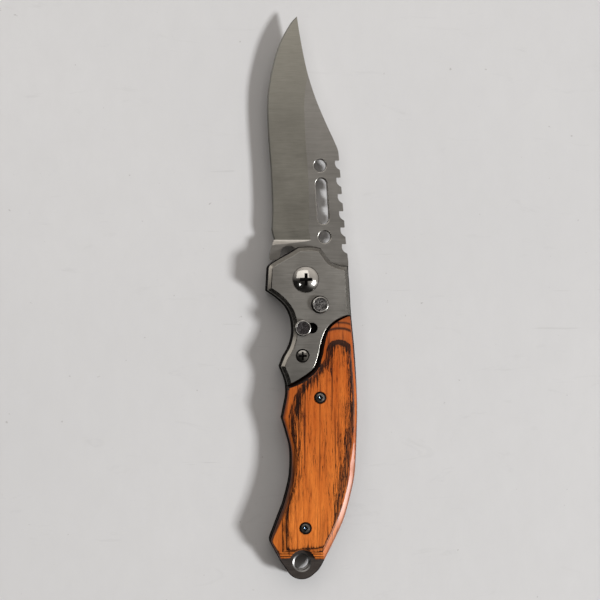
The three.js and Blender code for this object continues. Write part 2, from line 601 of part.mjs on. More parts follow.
// Screws of the bolsters and scales
for (const front of [true, false]) {
  const face = front ? 'front' : 'rear';
  add(`${face}_bolster_screw`, screw(BOLSTER_SCREW, BOLSTER_SCREW_R, front), BRIGHT_STEEL());
  SCALE_SCREWS.forEach((at, i) => {
    add(`${face}_scale_screw_${i + 1}`, screw(at, SCALE_SCREW_R, front), BLACK_STEEL());
  });
}

// Origin under the middle of the knife, on the rest face
const box = new THREE.Box3().setFromObject(knife);
const middle = box.getCenter(new THREE.Vector3());
knife.position.set(-middle.x, -middle.y, -box.min.z);

export default knife;
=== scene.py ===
"""Looks of the folding pocket knife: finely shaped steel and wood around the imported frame.

Forms are drawn in millimetres about the pivot, +Y towards the tip and +X towards the spine,
and set into the row frame in metres by finished().
"""
import math

import bmesh
import bpy
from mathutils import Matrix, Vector


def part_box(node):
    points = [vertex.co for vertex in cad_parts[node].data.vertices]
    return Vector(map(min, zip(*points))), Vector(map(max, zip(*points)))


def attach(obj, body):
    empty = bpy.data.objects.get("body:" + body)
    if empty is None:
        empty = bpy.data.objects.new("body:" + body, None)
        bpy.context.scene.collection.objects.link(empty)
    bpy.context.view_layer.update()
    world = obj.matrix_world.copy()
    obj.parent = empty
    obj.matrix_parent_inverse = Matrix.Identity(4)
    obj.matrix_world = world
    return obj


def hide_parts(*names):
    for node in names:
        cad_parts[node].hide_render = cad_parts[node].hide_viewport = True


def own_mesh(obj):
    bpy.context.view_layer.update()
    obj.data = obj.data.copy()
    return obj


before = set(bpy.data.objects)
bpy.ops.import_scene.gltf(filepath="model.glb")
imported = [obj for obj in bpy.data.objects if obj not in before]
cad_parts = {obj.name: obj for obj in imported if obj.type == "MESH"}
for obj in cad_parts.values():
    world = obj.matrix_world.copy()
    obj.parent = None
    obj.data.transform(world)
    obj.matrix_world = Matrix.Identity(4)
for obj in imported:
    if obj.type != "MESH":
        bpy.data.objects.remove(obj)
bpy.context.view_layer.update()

MM = 0.001
pivot_low, pivot_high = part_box("pivot_screw")
PIVOT = Vector(((pivot_low.x + pivot_high.x) / 2, (pivot_low.y + pivot_high.y) / 2, 0))

# Heights and thicknesses of the stack, from the rear face up
SIDE_T = 3.4
LINER_T = 1.2
GAP = 3.4
REAR_LINER_Z = SIDE_T
GAP_Z = REAR_LINER_Z + LINER_T
FRONT_LINER_Z = GAP_Z + GAP
FRONT_Z = FRONT_LINER_Z + LINER_T
TOP = FRONT_Z + SIDE_T
BLADE_Z = GAP_Z + 0.2
BLADE_T = 3.0

# Pivot, lock and safety
RUN = 0.08
SLIDE_FIT = 0.1
PIVOT_HOLE_R = 2.98
DOME_R = 4.85
DOME_FIT = 0.15
DOME_SEAT = 0.6
DOME_RISE = 1.5
NUT_R = 4.6
NUT_T = 1.0
THREAD_ROOM = 1.75
TANG_R = 9.9
BUTTON_ANGLE = -60.2
BUTTON_OUT = TANG_R + 1.16
BUTTON = (BUTTON_OUT * math.cos(math.radians(BUTTON_ANGLE)),
          BUTTON_OUT * math.sin(math.radians(BUTTON_ANGLE)))
BUTTON_R = 3.15
BUTTON_TOP = TOP + 1.8
COLLAR_HOLE_R = 2.7
POCKET_FLOOR = 0.6
KNOB = (-1.15, -18.5)
KNOB_R = 3.1
KNOB_T = 1.55
KNOB_LIFT = 0.15
SLOT_HALF = 2.05
SAFETY_TRAVEL = 3.5
SLIDE_T = 1.2
COIL_POCKET_R = 5.8
COIL_POCKET_Z = 1.6
FIXED_LEG_R = 7.6
LEG_ROOM_R = 0.75
STOP_R = 1.45
STOP = (11.998, -5.9)

# Screws, pins and the lanyard hole
BOLSTER_SCREW = (-1.15, -29.1)
BOLSTER_SCREW_R = 2.4
SCALE_SCREWS = ((5.55, -45.1), (-0.1, -94.8))
SCALE_SCREW_R = 2.2
SHANK_R = 1.1
HEAD_ROOM = 0.16
HEAD_SINK = 0.15
HEAD_RISE = 0.3
REAR_RISE = 0.13
LANYARD = (-1.1, -108.35)
LANYARD_R = 3.5
LUG_R = 6.446
TAIL_R = 5.2
SPACER_PINS = ((16.0, -20), (17.1, -60), (13.1, -88), (-6.5, -103.8))
SPACER_PIN_R = 1.05

# Blade
HEEL_X = -13.25
HEEL_Y = 7.5
SHOULDER_Y = -4.3
GRIND_W = 14.2
GRIND_Y = 15.3
PLUNGE_Y = 13.2
PLUNGE_RISE = 1.5
EDGE_HALF = 0.2
HONE_W = 0.55
HONE_HALF = 0.07
TIP = (-2.8, 101.2)
SPINE_X = 16.1
TOOTH_TOPS = (13.7, 20.1, 26.4, 33.0, 39.3, 45.85)
TOOTH_DEPTH = 1.6
TOOTH_OPEN = 3.65
WINDOWS = ((6.05, 43.8), (7.8, 16.4))
WINDOW_R = 2.35
SLOT_ENDS = ((6.5, 36.8), (7.3, 23.5))
SLOT_R = 2.15
OPEN_NOTCH_R = 2.8
SHUT_NOTCH = (-BUTTON[0] - 0.6, -BUTTON[1] + 0.2)
SHUT_NOTCH_R = 3.3


# Flat curves
def run(knots, per_span=8):
    """Points of a smooth curve through the knots, without the last one."""
    points = []
    last = len(knots) - 1
    for i in range(last):
        p1, p2 = knots[i], knots[i + 1]
        p0 = knots[max(i - 1, 0)]
        p3 = knots[min(i + 2, last)]
        for step in range(per_span):
            t = step / per_span
            point = []
            for a, b, c, d in zip(p0, p1, p2, p3):
                v0, v1 = (c - a) / 2, (d - b) / 2
                point.append((2 * b - 2 * c + v0 + v1) * t ** 3
                             + (3 * c - 3 * b - 2 * v0 - v1) * t ** 2 + v0 * t + b)
            points.append(tuple(point))
    return points


def arc(centre, r, start, end, steps):
    turns = [math.radians(start + (end - start) * i / steps) for i in range(steps + 1)]
    return [(centre[0] + r * math.cos(a), centre[1] + r * math.sin(a)) for a in turns]


def angle_about(centre, p):
    return math.degrees(math.atan2(p[1] - centre[1], p[0] - centre[0]))


def meeting(r1, c2, r2):
    """Directions from the pivot in which its circle r1 meets the circle r2 about c2."""
    d = math.hypot(*c2)
    middle = math.degrees(math.atan2(c2[1], c2[0]))
    half = math.degrees(math.acos((r1 * r1 - r2 * r2 + d * d) / (2 * d) / r1))
    return middle - half, middle + half


def gap_to(p, line):
    """Distance from a point to a chain of points."""
    best = 1e9
    for a, b in zip(line, line[1:]):
        ux, uy = b[0] - a[0], b[1] - a[1]
        wx, wy = p[0] - a[0], p[1] - a[1]
        t = max(0.0, min(1.0, (wx * ux + wy * uy) / max(ux * ux + uy * uy, 1e-12)))
        best = min(best, (wx - t * ux) ** 2 + (wy - t * uy) ** 2)
    return math.sqrt(best)


def inside(p, loop):
    crossed = False
    for a, b in zip(loop, loop[1:] + loop[:1]):
        if (a[1] > p[1]) != (b[1] > p[1]):
            if p[0] < a[0] + (p[1] - a[1]) * (b[0] - a[0]) / (b[1] - a[1]):
                crossed = not crossed
    return crossed


def inset(points, d):
    """A counterclockwise outline moved inwards by d; edges that vanish close up to a corner."""
    n = len(points)
    if d == 0:
        return list(points)
    edges = []
    for p, q in zip(points, points[1:] + points[:1]):
        length = math.hypot(q[0] - p[0], q[1] - p[1])
        ux, uy = (q[0] - p[0]) / length, (q[1] - p[1]) / length
        edges.append((p[0] - uy * d, p[1] + ux * d, ux, uy))
    alive = [True] * n

    def living(i, way):
        while not alive[i % n]:
            i += way
        return i

    def corner(i):
        ax, ay, aux, auy = edges[living(i - 1, -1) % n]
        bx, by, bux, buy = edges[living(i, 1) % n]
        turn = aux * buy - auy * bux
        if abs(turn) < 1e-3:
            return bx, by
        t = ((bx - ax) * buy - (by - ay) * bux) / turn
        return ax + aux * t, ay + auy * t

    corners = [corner(i) for i in range(n)]
    while True:
        worst, gone = -1e-9, -1
        for i in range(n):
            if alive[i]:
                p, q = corners[i], corners[(i + 1) % n]
                length = (q[0] - p[0]) * edges[i][2] + (q[1] - p[1]) * edges[i][3]
                if length < worst:
                    worst, gone = length, i
        if gone < 0:
            return corners
        alive[gone] = False
        for i in range(living(gone, -1) + 1, living(gone, 1) + 1):
            corners[i % n] = corner(i)


# Closed forms, as meshes in millimetres
def reworked(mesh, change):
    """The mesh after change(bm) has worked on it."""
    bm = bmesh.new()
    bm.from_mesh(mesh)
    change(bm)
    bm.to_mesh(mesh)
    bm.free()
    return mesh


def form(points, faces):
    """Welded mesh from corners and the faces that index them."""
    seen, kept, weld = {}, [], []
    for p in points:
        key = tuple(round(c, 4) for c in p)
        if key not in seen:
            seen[key] = len(kept)
            kept.append(p)
        weld.append(seen[key])
    loops = []
    for face in faces:
        loop = [weld[i] for i in face]
        loop = [v for i, v in enumerate(loop) if v != loop[i - 1]]
        if len(loop) > 2:
            loops.append(loop)
    mesh = bpy.data.meshes.new("form")
    mesh.from_pydata(kept, [], loops)
    return reworked(mesh, lambda bm: bmesh.ops.recalc_face_normals(bm, faces=bm.faces))


def bands(rings, n):
    """Faces between rings of n points each."""
    faces = []
    for k in range(rings - 1):
        for i in range(n):
            a, b = k * n + i, k * n + (i + 1) % n
            faces.append((a, b, b + n, a + n))
    return faces


def layered(outline, layers):
    """Solid through an outline's insets at rising heights, as (z, inset) pairs."""
    n = len(outline)
    points = [(x, y, z) for z, d in layers for x, y in inset(outline, d)]
    top = (len(layers) - 1) * n
    return form(points, [*bands(len(layers), n), tuple(range(n - 1, -1, -1)),
                         tuple(range(top, top + n))])


def prism(outline, z0, z1):
    return layered(outline, ((z0, 0), (z1, 0)))


def turned(profile, centre, steps=64):
    """Solid of revolution about a vertical axis, from (radius, z) pairs that end on the axis."""
    points = []
    for r, z in profile:
        for i in range(steps):
            a = 2 * math.pi * i / steps
            points.append((centre[0] + r * math.cos(a), centre[1] + r * math.sin(a), z))
    return form(points, bands(len(profile), steps))


def disc(centre, r, z0, z1, steps=64):
    return turned(((0, z0), (r, z0), (r, z1), (0, z1)), centre, steps)


def eased(z0, z1, rim, steps=5):
    """Flare of a hole between two faces whose edges are rounded off, as (widening, z) pairs."""
    upper = arc((rim, z1 - rim + 0.01), rim, 180, 92, steps)
    lower = [(out, z0 + z1 - z) for out, z in reversed(upper)]
    return [(rim + 0.02, z0 - 1), *lower, *upper, (rim + 0.02, z1 + 1)]


def eased_hole(centre, r, z0, z1, rim):
    """Cutter for a round hole with rounded edges at both faces."""
    flare = [(r + out, z) for out, z in eased(z0, z1, rim)]
    return turned([(0, z0 - 1), *flare, (0, z1 + 1)], centre, 72)


def slot_outline(a, b, r, steps=24):
    along = angle_about(a, b)
    return arc(a, r, along + 90, along + 270, steps) + arc(b, r, along - 90, along + 90, steps)


def cross_outline(centre, size, w):
    corners = []
    for quarter in range(4):
        a = math.radians(90 * quarter)
        for x, y in ((size, -w), (size, w), (w, w)):
            corners.append((centre[0] + x * math.cos(a) - y * math.sin(a),
                            centre[1] + x * math.sin(a) + y * math.cos(a)))
    return corners


CROSS_ARM = 0.28
CROSS_TAPER = 0.12
CROSS_DEEPEST = 1.1


def recess(centre, size, z_low, z_high):
    """Cutter for a cross recess that narrows as it goes down."""
    return layered(cross_outline(centre, size, size * CROSS_ARM),
                   [(z_low, size * CROSS_TAPER), (z_high, 0)])


def placed(name, data):
    """A new object in the scene."""
    made = bpy.data.objects.new(name, data)
    bpy.context.scene.collection.objects.link(made)
    return made


def carved(body, *steps):
    """The body after boolean steps, each (operation, tool mesh)."""
    worked = placed("worked", body)
    used = [worked]
    for operation, tool_mesh in steps:
        cut = worked.modifiers.new("cut", "BOOLEAN")
        cut.operation = operation
        cut.solver = "EXACT"
        cut.object = placed("tool", tool_mesh)
        used.append(cut.object)
    graph = bpy.context.evaluated_depsgraph_get()
    result = bpy.data.meshes.new_from_object(worked.evaluated_get(graph))
    for spare in used:
        mesh = spare.data
        bpy.data.objects.remove(spare)
        bpy.data.meshes.remove(mesh)
    return result


def less(body, *cutters):
    return carved(body, *(("DIFFERENCE", cutter) for cutter in cutters))


def within(body, *fields):
    return carved(body, *(("INTERSECT", field) for field in fields))


LEVEL = 0.9995
CREASE = math.radians(30)


def sorted_faces(mesh, finish_of):
    """Gives each face the finish whose number finish_of(face) returns."""
    for face in mesh.polygons:
        face.material_index = finish_of(face)
    return mesh


def flipped(mesh):
    """Turned over for the rear face: z becomes its distance from the other side."""
    def turn(bm):
        for v in bm.verts:
            v.co.z = TOP - v.co.z
        bmesh.ops.reverse_faces(bm, faces=bm.faces)
    return reworked(mesh, turn)


def finished(name, mesh, materials, slot, *replaced, body="handle"):
    """Sets a millimetre form into the row frame as a piece that rides on a body."""
    def crease(bm):
        for edge in bm.edges:
            if len({face.material_index for face in edge.link_faces}) > 1:
                edge.smooth = False

    for v in mesh.vertices:
        v.co = Vector((PIVOT.x + v.co.x * MM, PIVOT.y + v.co.y * MM, v.co.z * MM))
    mesh.name = name
    mesh.shade_smooth()
    mesh.set_sharp_from_angle(angle=CREASE)
    for material in materials:
        mesh.materials.append(material)
    piece = placed(name, reworked(mesh, crease))
    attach(piece, body)
    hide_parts(*replaced)
    return piece


# Finishes
class Graph:
    """Each method adds nodes to a tree and returns the output that carries the result."""

    def __init__(self, tree):
        self.tree = tree

    def node(self, kind, values, out=0, **settings):
        made = self.tree.nodes.new(kind)
        for key, value in settings.items():
            setattr(made, key, value)
        for socket, value in values.items():
            self.feed(made.inputs[socket], value)
        return made.outputs[out]

    def feed(self, socket, value):
        if isinstance(value, bpy.types.NodeSocket):
            self.tree.links.new(value, socket)
        else:
            socket.default_value = value

    def math(self, operation, a, b=0.0):
        return self.node("ShaderNodeMath", {0: a, 1: b}, operation=operation)

    def plus(self, a, b):
        return self.math("ADD", a, b)

    def times(self, a, b):
        return self.math("MULTIPLY", a, b)

    def most(self, a, b):
        return self.math("MAXIMUM", a, b)

    def dot(self, a, b):
        return self.node("ShaderNodeVectorMath", {0: a, 1: b}, "Value", operation="DOT_PRODUCT")

    def range(self, value, low, high, to_low=0.0, to_high=1.0):
        return self.node("ShaderNodeMapRange", {0: value, 1: low, 2: high, 3: to_low, 4: to_high})


class Finish(Graph):
    """A node material."""

    def __init__(self, name, **constants):
        self.material = bpy.data.materials.new(name)
        self.material.use_nodes = True
        super().__init__(self.material.node_tree)
        self.shader = self.tree.nodes["Principled BSDF"]
        for socket, value in constants.items():
            self.shader.inputs[socket.replace("_", " ")].default_value = value
        self.position = self.node("ShaderNodeTexCoord", {}, "Object")

    def noise(self, x, y, z, detail=2.0, rough=0.5, distortion=0.0, shift=(0, 0, 0)):
        """Noise whose grain per millimetre is x, y and z."""
        scaled = self.node("ShaderNodeVectorMath", {
            0: self.position, 1: (x / MM, y / MM, z / MM), 2: shift}, operation="MULTIPLY_ADD")
        return self.node("ShaderNodeTexNoise", {
            "Vector": scaled, "Scale": 1.0, "Detail": detail, "Roughness": rough,
            "Distortion": distortion})

    def swing(self, noise, to_low=0.0, to_high=1.0):
        """The usual span of a noise, spread from to_low to to_high."""
        return self.range(noise, 0.3, 0.7, to_low, to_high)

    def mix(self, factor, a, b, blend="MIX"):
        return self.node("ShaderNodeMix", {0: factor, 6: a, 7: b}, 2, data_type="RGBA",
                         blend_type=blend)

    def ramp(self, value, stops):
        """Grey levels at places along the value, given as (place, level) pairs."""
        made = self.tree.nodes.new("ShaderNodeValToRGB")
        elements = made.color_ramp.elements
        while len(elements) > 1:
            elements.remove(elements[0])
        elements[0].position = stops[0][0]
        elements[0].color = grey(stops[0][1])
        for place, level in stops[1:]:
            elements.new(place).color = grey(level)
        self.feed(made.inputs[0], value)
        return made.outputs[0]

    def along(self, axis):
        """Millimetres along an axis of the row frame."""
        part = self.node("ShaderNodeSeparateXYZ", {0: self.position}, "XYZ".index(axis))
        return self.times(part, 1 / MM)

    def surface(self, colour, roughness, height, distance, strength):
        """Connects colour and roughness, and a bump whose full height is distance millimetres."""
        self.feed(self.shader.inputs["Base Color"], colour)
        self.feed(self.shader.inputs["Roughness"], roughness)
        bump = self.node("ShaderNodeBump", {
            "Strength": strength, "Distance": distance * MM, "Height": height})
        self.feed(self.shader.inputs["Normal"], bump)
        return self.material


def grey(level):
    return (level, level, level, 1)


def metal(name, colour, roughness, lines, wear, painted_shade=None):
    """Worked steel: fine lines, uneven polish and faint scratches.

    lines gives the grain per millimetre along X and along Y. painted_shade gives two places
    along Y and the level of the colour at each: a painted shade for light that falls off along the
    piece.
    """
    made = Finish(name, Metallic=1.0)
    along, across = lines
    fine = made.noise(along, across, across, detail=4, rough=0.7)
    broad = made.noise(along * 0.6, across * 0.2, across * 0.2, shift=(3, 1, 0))
    patches = made.noise(0.09, 0.07, 0.1, detail=3, rough=0.6, shift=(7, 2, 5))
    scratch = made.noise(0.5, 0.16, 0.5, detail=4, rough=0.7, distortion=1.4, shift=(1, 9, 4))
    tone = made.plus(made.range(fine, 0.32, 0.68, -wear, wear),
                     made.swing(broad, -wear * 0.3, wear * 0.3))
    tone = made.plus(tone, made.swing(patches, -0.06, 0.06))
    tone = made.plus(made.times(made.range(scratch, 0.64, 0.7), wear), made.plus(tone, 1.0))
    # Painted shade: the colour's level runs from one given level to the other along Y
    if painted_shade:
        tone = made.times(tone, made.range(made.along("Y"), *painted_shade))
    shade = made.node("ShaderNodeCombineColor", {0: tone, 1: tone, 2: tone})
    colour = made.mix(1.0, (*colour, 1), shade, "MULTIPLY")
    rough = made.plus(made.swing(fine, roughness - 0.04, roughness + 0.04),
                      made.swing(patches, -0.04, 0.04))
    return made.surface(colour, rough, fine, 0.004, 0.8)


VENEERS_T = 3.6


def wood():
    """Resin-filled plywood, ground through on its crown and round its edges.

    Thin orange veneers lie parallel to the faces. The dark glue lines show wherever the
    surface runs down through them, ragged along the grain where it does so slowly.
    """
    made = Finish("orange_plywood", Coat_Weight=0.36, Coat_Roughness=0.26, Specular_IOR_Level=0.04)
    middle = TOP / 2
    off_middle = made.math("SUBTRACT", made.along("Z"), middle)
    depth = made.math("SUBTRACT", middle, made.math("ABSOLUTE", off_middle))
    length = made.along("Y")
    facing = made.node("ShaderNodeTexCoord", {}, "Normal")
    fibre = made.noise(1.6, 0.11, 1.0, detail=4, rough=0.65, distortion=0.2)
    hair = made.noise(3.6, 0.3, 2.0, detail=4, rough=0.75, shift=(4, 0, 2))
    drift = made.noise(0.12, 0.03, 0.1, shift=(9, 4, 1))
    wild = made.times(made.range(depth, 0.2, 0.5, 1.0, 0.15),
                      made.range(length, -92.0, -70.0, 0.25, 1.0))
    crest = made.range(length, -23.0, -19.0)
    wild = made.times(wild, made.range(crest, 0.0, 1.0, 1.0, 0.5))
    warp = made.plus(made.swing(fibre, -0.08, 0.08), made.swing(hair, -0.1, 0.1))
    warp = made.plus(made.times(warp, wild), made.swing(drift, -0.02, 0.02))
    place = made.range(made.plus(depth, warp), 0.0, VENEERS_T)

    # First glue line: two dark edges with a lighter core, then the thinner lines below it
    edges = [(0.0, 0), (0.022, 0), (0.029, 1), (0.04, 1), (0.048, 0), (0.07, 0), (0.077, 1),
             (0.086, 1), (0.094, 0)]
    for line in (0.29, 0.42, 0.55, 0.67, 0.79, 0.9):
        edges += [(line - 0.02, 0), (line, 0.9), (line + 0.02, 0)]
    core = made.ramp(place, [(0.0, 0), (0.028, 0), (0.04, 1), (0.076, 1), (0.09, 0)])
    core = made.times(core, made.range(length, -92.0, -75.0, 0.15, 0.95))
    streaks = made.noise(2.5, 0.085, 1.0, detail=4, rough=0.7, distortion=0.15, shift=(3, 7, 1))
    core = made.times(core, made.most(made.range(streaks, 0.42, 0.52, 0.15, 1.0), crest))
    glue = made.most(made.ramp(place, edges), core)
    glue = made.times(glue, made.range(hair, 0.32, 0.4, 0.5, 1.0))

    # The lines run broader across the two ends
    tail = [(0.0, 0)]
    for line in (0.056, 0.139, 0.222, 0.3):
        tail += [(line - 0.022, 0), (line - 0.008, 1), (line + 0.008, 1), (line + 0.022, 0)]
    tail_side = made.range(made.dot(facing, (-0.35, -1.0, 0.0)), 0.08, 0.2)
    tail_side = made.times(made.range(length, -95.2, -96.2, 0.0, 0.9), tail_side)
    arch = made.ramp(place, [(0.198, 0), (0.214, 1), (0.228, 1), (0.244, 0)])
    arch = made.times(arch, made.range(length, -24.0, -18.0, 0.0, 0.9))
    ends = made.most(made.times(made.ramp(place, tail), tail_side), arch)
    glue = made.most(glue, ends)

    # Hairs of dark fibre that run along the grain beside the first line
    near_line = made.ramp(made.range(depth, 0.0, 0.4), [
        (0.0, 0), (0.02, 0.15), (0.1, 0.55), (0.22, 0.95), (0.4, 1), (0.75, 0.35), (1.0, 0)])
    near_line = made.times(near_line, made.range(length, -92.0, -70.0, 0.12, 0.19))
    glue = made.most(glue, made.range(made.plus(streaks, near_line), 0.67, 0.72))
    halo = made.ramp(place, [(0.0, 0), (0.012, 0.25), (0.05, 1), (0.12, 0.5), (0.16, 0)])
    halo = made.times(halo, made.range(hair, 0.38, 0.6))

    # Flesh: ripe and pale bands, fibres, pores and long dark threads
    pores = made.noise(3.4, 0.3, 2.0, detail=4, rough=0.75, distortion=0.1, shift=(2, 6, 3))
    pores = made.range(pores, 0.54, 0.7)
    threads = made.range(made.noise(1.5, 0.022, 1.0, detail=1, shift=(8, 3, 6)), 0.63, 0.68)
    ripe = made.noise(0.4, 0.03, 0.3, detail=3, rough=0.6, shift=(5, 5, 0))
    ripe = made.plus(made.swing(ripe, 0.0, 0.5), made.range(length, -100.0, -25.0, 0.6, 0.0))
    uneven = made.plus(depth, made.swing(drift, -0.15, 0.15))
    # Painted shade: faces that turn to the left, away from the key light, darken to near black
    # along the lower handle
    left_side_shade = made.plus(made.dot(facing, (-0.9, 0.05, 0.0)),
                            made.range(length, -84.0, -91.0, 0.0, 0.16))
    left_side_shade = made.times(made.range(left_side_shade, 0.3, 0.48),
                             made.range(length, -58.0, -66.0, 0.0, 0.8))
    stain_and_left_shade = made.most(made.range(uneven, 1.2, 2.0), left_side_shade)
    colour = made.mix(ripe, (0.5, 0.098, 0.012, 1), (0.86, 0.25, 0.042, 1))
    for amount, tint in (
            (made.range(fibre, 0.38, 0.68, 0.0, 0.5), (0.36, 0.066, 0.01, 1)),
            (made.times(pores, 0.55), (0.18, 0.036, 0.009, 1)),
            (made.times(threads, 0.8), (0.08, 0.016, 0.006, 1)),
            (made.range(uneven, 0.3, 1.1, 0.0, 0.45), (0.16, 0.03, 0.008, 1)),
            # Stain in the deep wood, and the painted shade on the left-facing faces
            (made.times(stain_and_left_shade, 0.96), (0.011, 0.005, 0.004, 1)),
            (made.times(halo, 0.6), (0.11, 0.024, 0.007, 1)),
            (made.times(glue, 0.97), (0.006, 0.0035, 0.003, 1))):
        colour = made.mix(amount, colour, tint)
    height = made.math("SUBTRACT", made.times(fibre, 0.4), made.times(pores, 0.5))
    return made.surface(colour, made.swing(hair, 0.36, 0.5), height, 0.02, 0.7)


def speckled(name, dark, light):
    """Grainy cast steel: a dark ground with worn bright grains."""
    made = Finish(name, Metallic=1.0)
    grain = made.noise(2.3, 2.3, 2.3, detail=3, rough=0.7, shift=(3, 5, 2))
    cloud = made.noise(0.5, 0.5, 0.5, shift=(8, 1, 6))
    level = made.plus(grain, made.swing(cloud, -0.08, 0.08))
    colour = made.mix(made.range(level, 0.45, 0.66), (*dark, 1), (*light, 1))
    return made.surface(colour, made.swing(grain, 0.5, 0.36), grain, 0.03, 0.7)


def shade_black(name, colour, roughness, gloss):
    """Nearly black dull finish, painted shade for walls, edges and recesses, with rubbed and dusty
    spots.
    """
    made = Finish(name, Specular_IOR_Level=gloss)
    rubbed = made.noise(0.9, 0.7, 1.2, detail=4, rough=0.7, shift=(6, 2, 9))
    dust = made.noise(3.0, 3.0, 3.0, detail=3, rough=0.6, shift=(2, 8, 4))
    light = (*(3.2 * c for c in colour), 1)
    shade = made.mix(made.range(rubbed, 0.55, 0.75, 0.0, 0.5), (*colour, 1), light)
    shade = made.mix(made.range(dust, 0.6, 0.75, 0.0, 0.3), shade, light)
    return made.surface(shade, made.swing(dust, roughness - 0.08, roughness + 0.08),
                        rubbed, 0.01, 0.5)


def seam_bevel_finish():
    """The scale's bevel beside the bolster, coloured nearly black."""
    made = Finish("dark_seam_bevel", Coat_Weight=0.3, Coat_Roughness=0.25, Specular_IOR_Level=0.1)
    grain = made.noise(1.8, 0.3, 1.8, detail=3, rough=0.6)
    fibre = made.noise(3.5, 0.2, 2.0, detail=3, rough=0.7, shift=(4, 0, 2))
    colour = made.mix(made.range(grain, 0.52, 0.74), (0.009, 0.005, 0.004, 1),
                      (0.06, 0.018, 0.008, 1))
    return made.surface(colour, made.swing(fibre, 0.35, 0.55), fibre, 0.02, 0.7)


def paint():
    """Floor: pale painted board with faint clouds, scuffs and specks."""
    made = Finish("pale_board")
    cloud = made.noise(0.006, 0.005, 0.01, detail=3, rough=0.55)
    mottle = made.noise(0.12, 0.07, 0.1, detail=4, rough=0.7, shift=(5, 1, 2))
    scuff = made.noise(0.03, 0.11, 0.1, detail=4, rough=0.65, distortion=1.5, shift=(3, 3, 0))
    crack = made.noise(0.012, 0.2, 0.1, detail=4, rough=0.6, distortion=0.3, shift=(6, 9, 0))
    speck = made.noise(0.35, 0.35, 0.3, shift=(1, 7, 0))
    fine = made.noise(1.4, 1.4, 1.4, detail=3)
    colour = made.mix(made.swing(cloud), (0.64, 0.632, 0.63, 1), (0.68, 0.67, 0.665, 1))
    for amount, tint in (
            (made.swing(mottle, 0.0, 0.3), (0.60, 0.59, 0.585, 1)),
            (made.range(scuff, 0.62, 0.74, 0.0, 0.35), (0.55, 0.54, 0.535, 1)),
            (made.range(crack, 0.69, 0.71, 0.0, 0.25), (0.45, 0.44, 0.43, 1)),
            (made.range(speck, 0.74, 0.78, 0.0, 0.6), (0.38, 0.36, 0.35, 1))):
        colour = made.mix(amount, colour, tint)
    return made.surface(colour, made.swing(fine, 0.5, 0.65), mottle, 0.05, 0.3)


# Metals: colour, roughness, lines, wear, painted shade along Y. Black finishes of painted shade:
# colour, roughness, gloss
BLADE = metal("satin_blade", (0.28, 0.268, 0.233), 0.38, (0.03, 2.2), 0.08)
# The flats carry painted shade: darker towards the ricasso, full towards the tip
FLAT = metal("satin_flat", (0.285, 0.271, 0.249), 0.4, (0.1, 2.0), 0.08, (33, 72, 0.83, 1.0))
BLADE_WALL = metal("blade_wall", (0.42, 0.405, 0.37), 0.26, (0.5, 1.0), 0.1)
# A lighter copy of the blade steel on the plunge: painted highlight where it catches the light
PLUNGE = metal("plunge_cut", (0.54, 0.52, 0.48), 0.38, (0.06, 1.6), 0.1)
# A darker copy of the blade steel on the honed edge: painted shade
CUTTING_EDGE = metal("honed_edge", (0.2, 0.196, 0.18), 0.34, (2.0, 2.0), 0.12)
# The bolster carries painted shade: darker towards the scale, lighter towards the blade
BOLSTER = metal("brushed_bolster", (0.275, 0.262, 0.24), 0.4, (0.15, 3.2), 0.1,
                (-28, 14, 0.88, 1.1))
# Bevels: a smoother polish, and a darker colour that is painted shade
BEVEL = metal("bolster_bevel", (0.21, 0.20, 0.18), 0.24, (0.2, 1.6), 0.14)
# Painted shade: the bolster's walls are coloured nearly black
WALL = shade_black("bolster_wall", (0.007, 0.006, 0.006), 0.5, 0.06)
BRIGHT = metal("polished_steel", (0.66, 0.64, 0.60), 0.13, (0.5, 0.5), 0.05)
CAP_FACE = speckled("grainy_cap_face", (0.03, 0.028, 0.027), (0.36, 0.345, 0.335))
KNOB_FACE = speckled("grainy_knob_face", (0.03, 0.027, 0.027), (0.15, 0.14, 0.14))
CAP_RIM = metal("worn_cap_rim", (0.42, 0.405, 0.38), 0.24, (0.9, 0.9), 0.3)
DARK = metal("dark_liner", (0.094, 0.08, 0.073), 0.42, (0.2, 1.4), 0.16)
# Painted shade: the liners' edges are coloured nearly black
LINER_EDGE = shade_black("liner_edge", (0.007, 0.006, 0.006), 0.5, 0.06)
SCREW_HEAD = metal("worn_screw_head", (0.34, 0.325, 0.30), 0.13, (1.2, 1.2), 0.25)
HOLE_WALL = metal("bare_countersink", (0.22, 0.215, 0.21), 0.34, (0.8, 0.8), 0.2)
BLACK = metal("worn_black_head", (0.19, 0.175, 0.16), 0.28, (1.0, 1.0), 0.35)
# Painted reflection: the steel in the screws' pits is tinted blue like the sky in their glint
PIT_GLINT_TINT = metal("pit_painted_blue_reflection", (0.24, 0.36, 0.5), 0.24, (2.0, 2.0), 0.2)
# Painted shade: recesses, and the safety slide seen through its slot, are coloured black
RECESS_SHADE = shade_black("recess_painted_shade", (0.006, 0.005, 0.005), 0.55, 0.08)
SPRING = metal("spring_wire", (0.42, 0.42, 0.42), 0.28, (1.5, 1.5), 0.1)
BRASS = metal("brass_washer", (0.46, 0.31, 0.09), 0.34, (0.8, 0.8), 0.14)
LINER_SET = (DARK, LINER_EDGE, HOLE_WALL)
BOLSTER_SET = (BOLSTER, BEVEL, WALL)
WOOD_SET = (wood(), seam_bevel_finish())

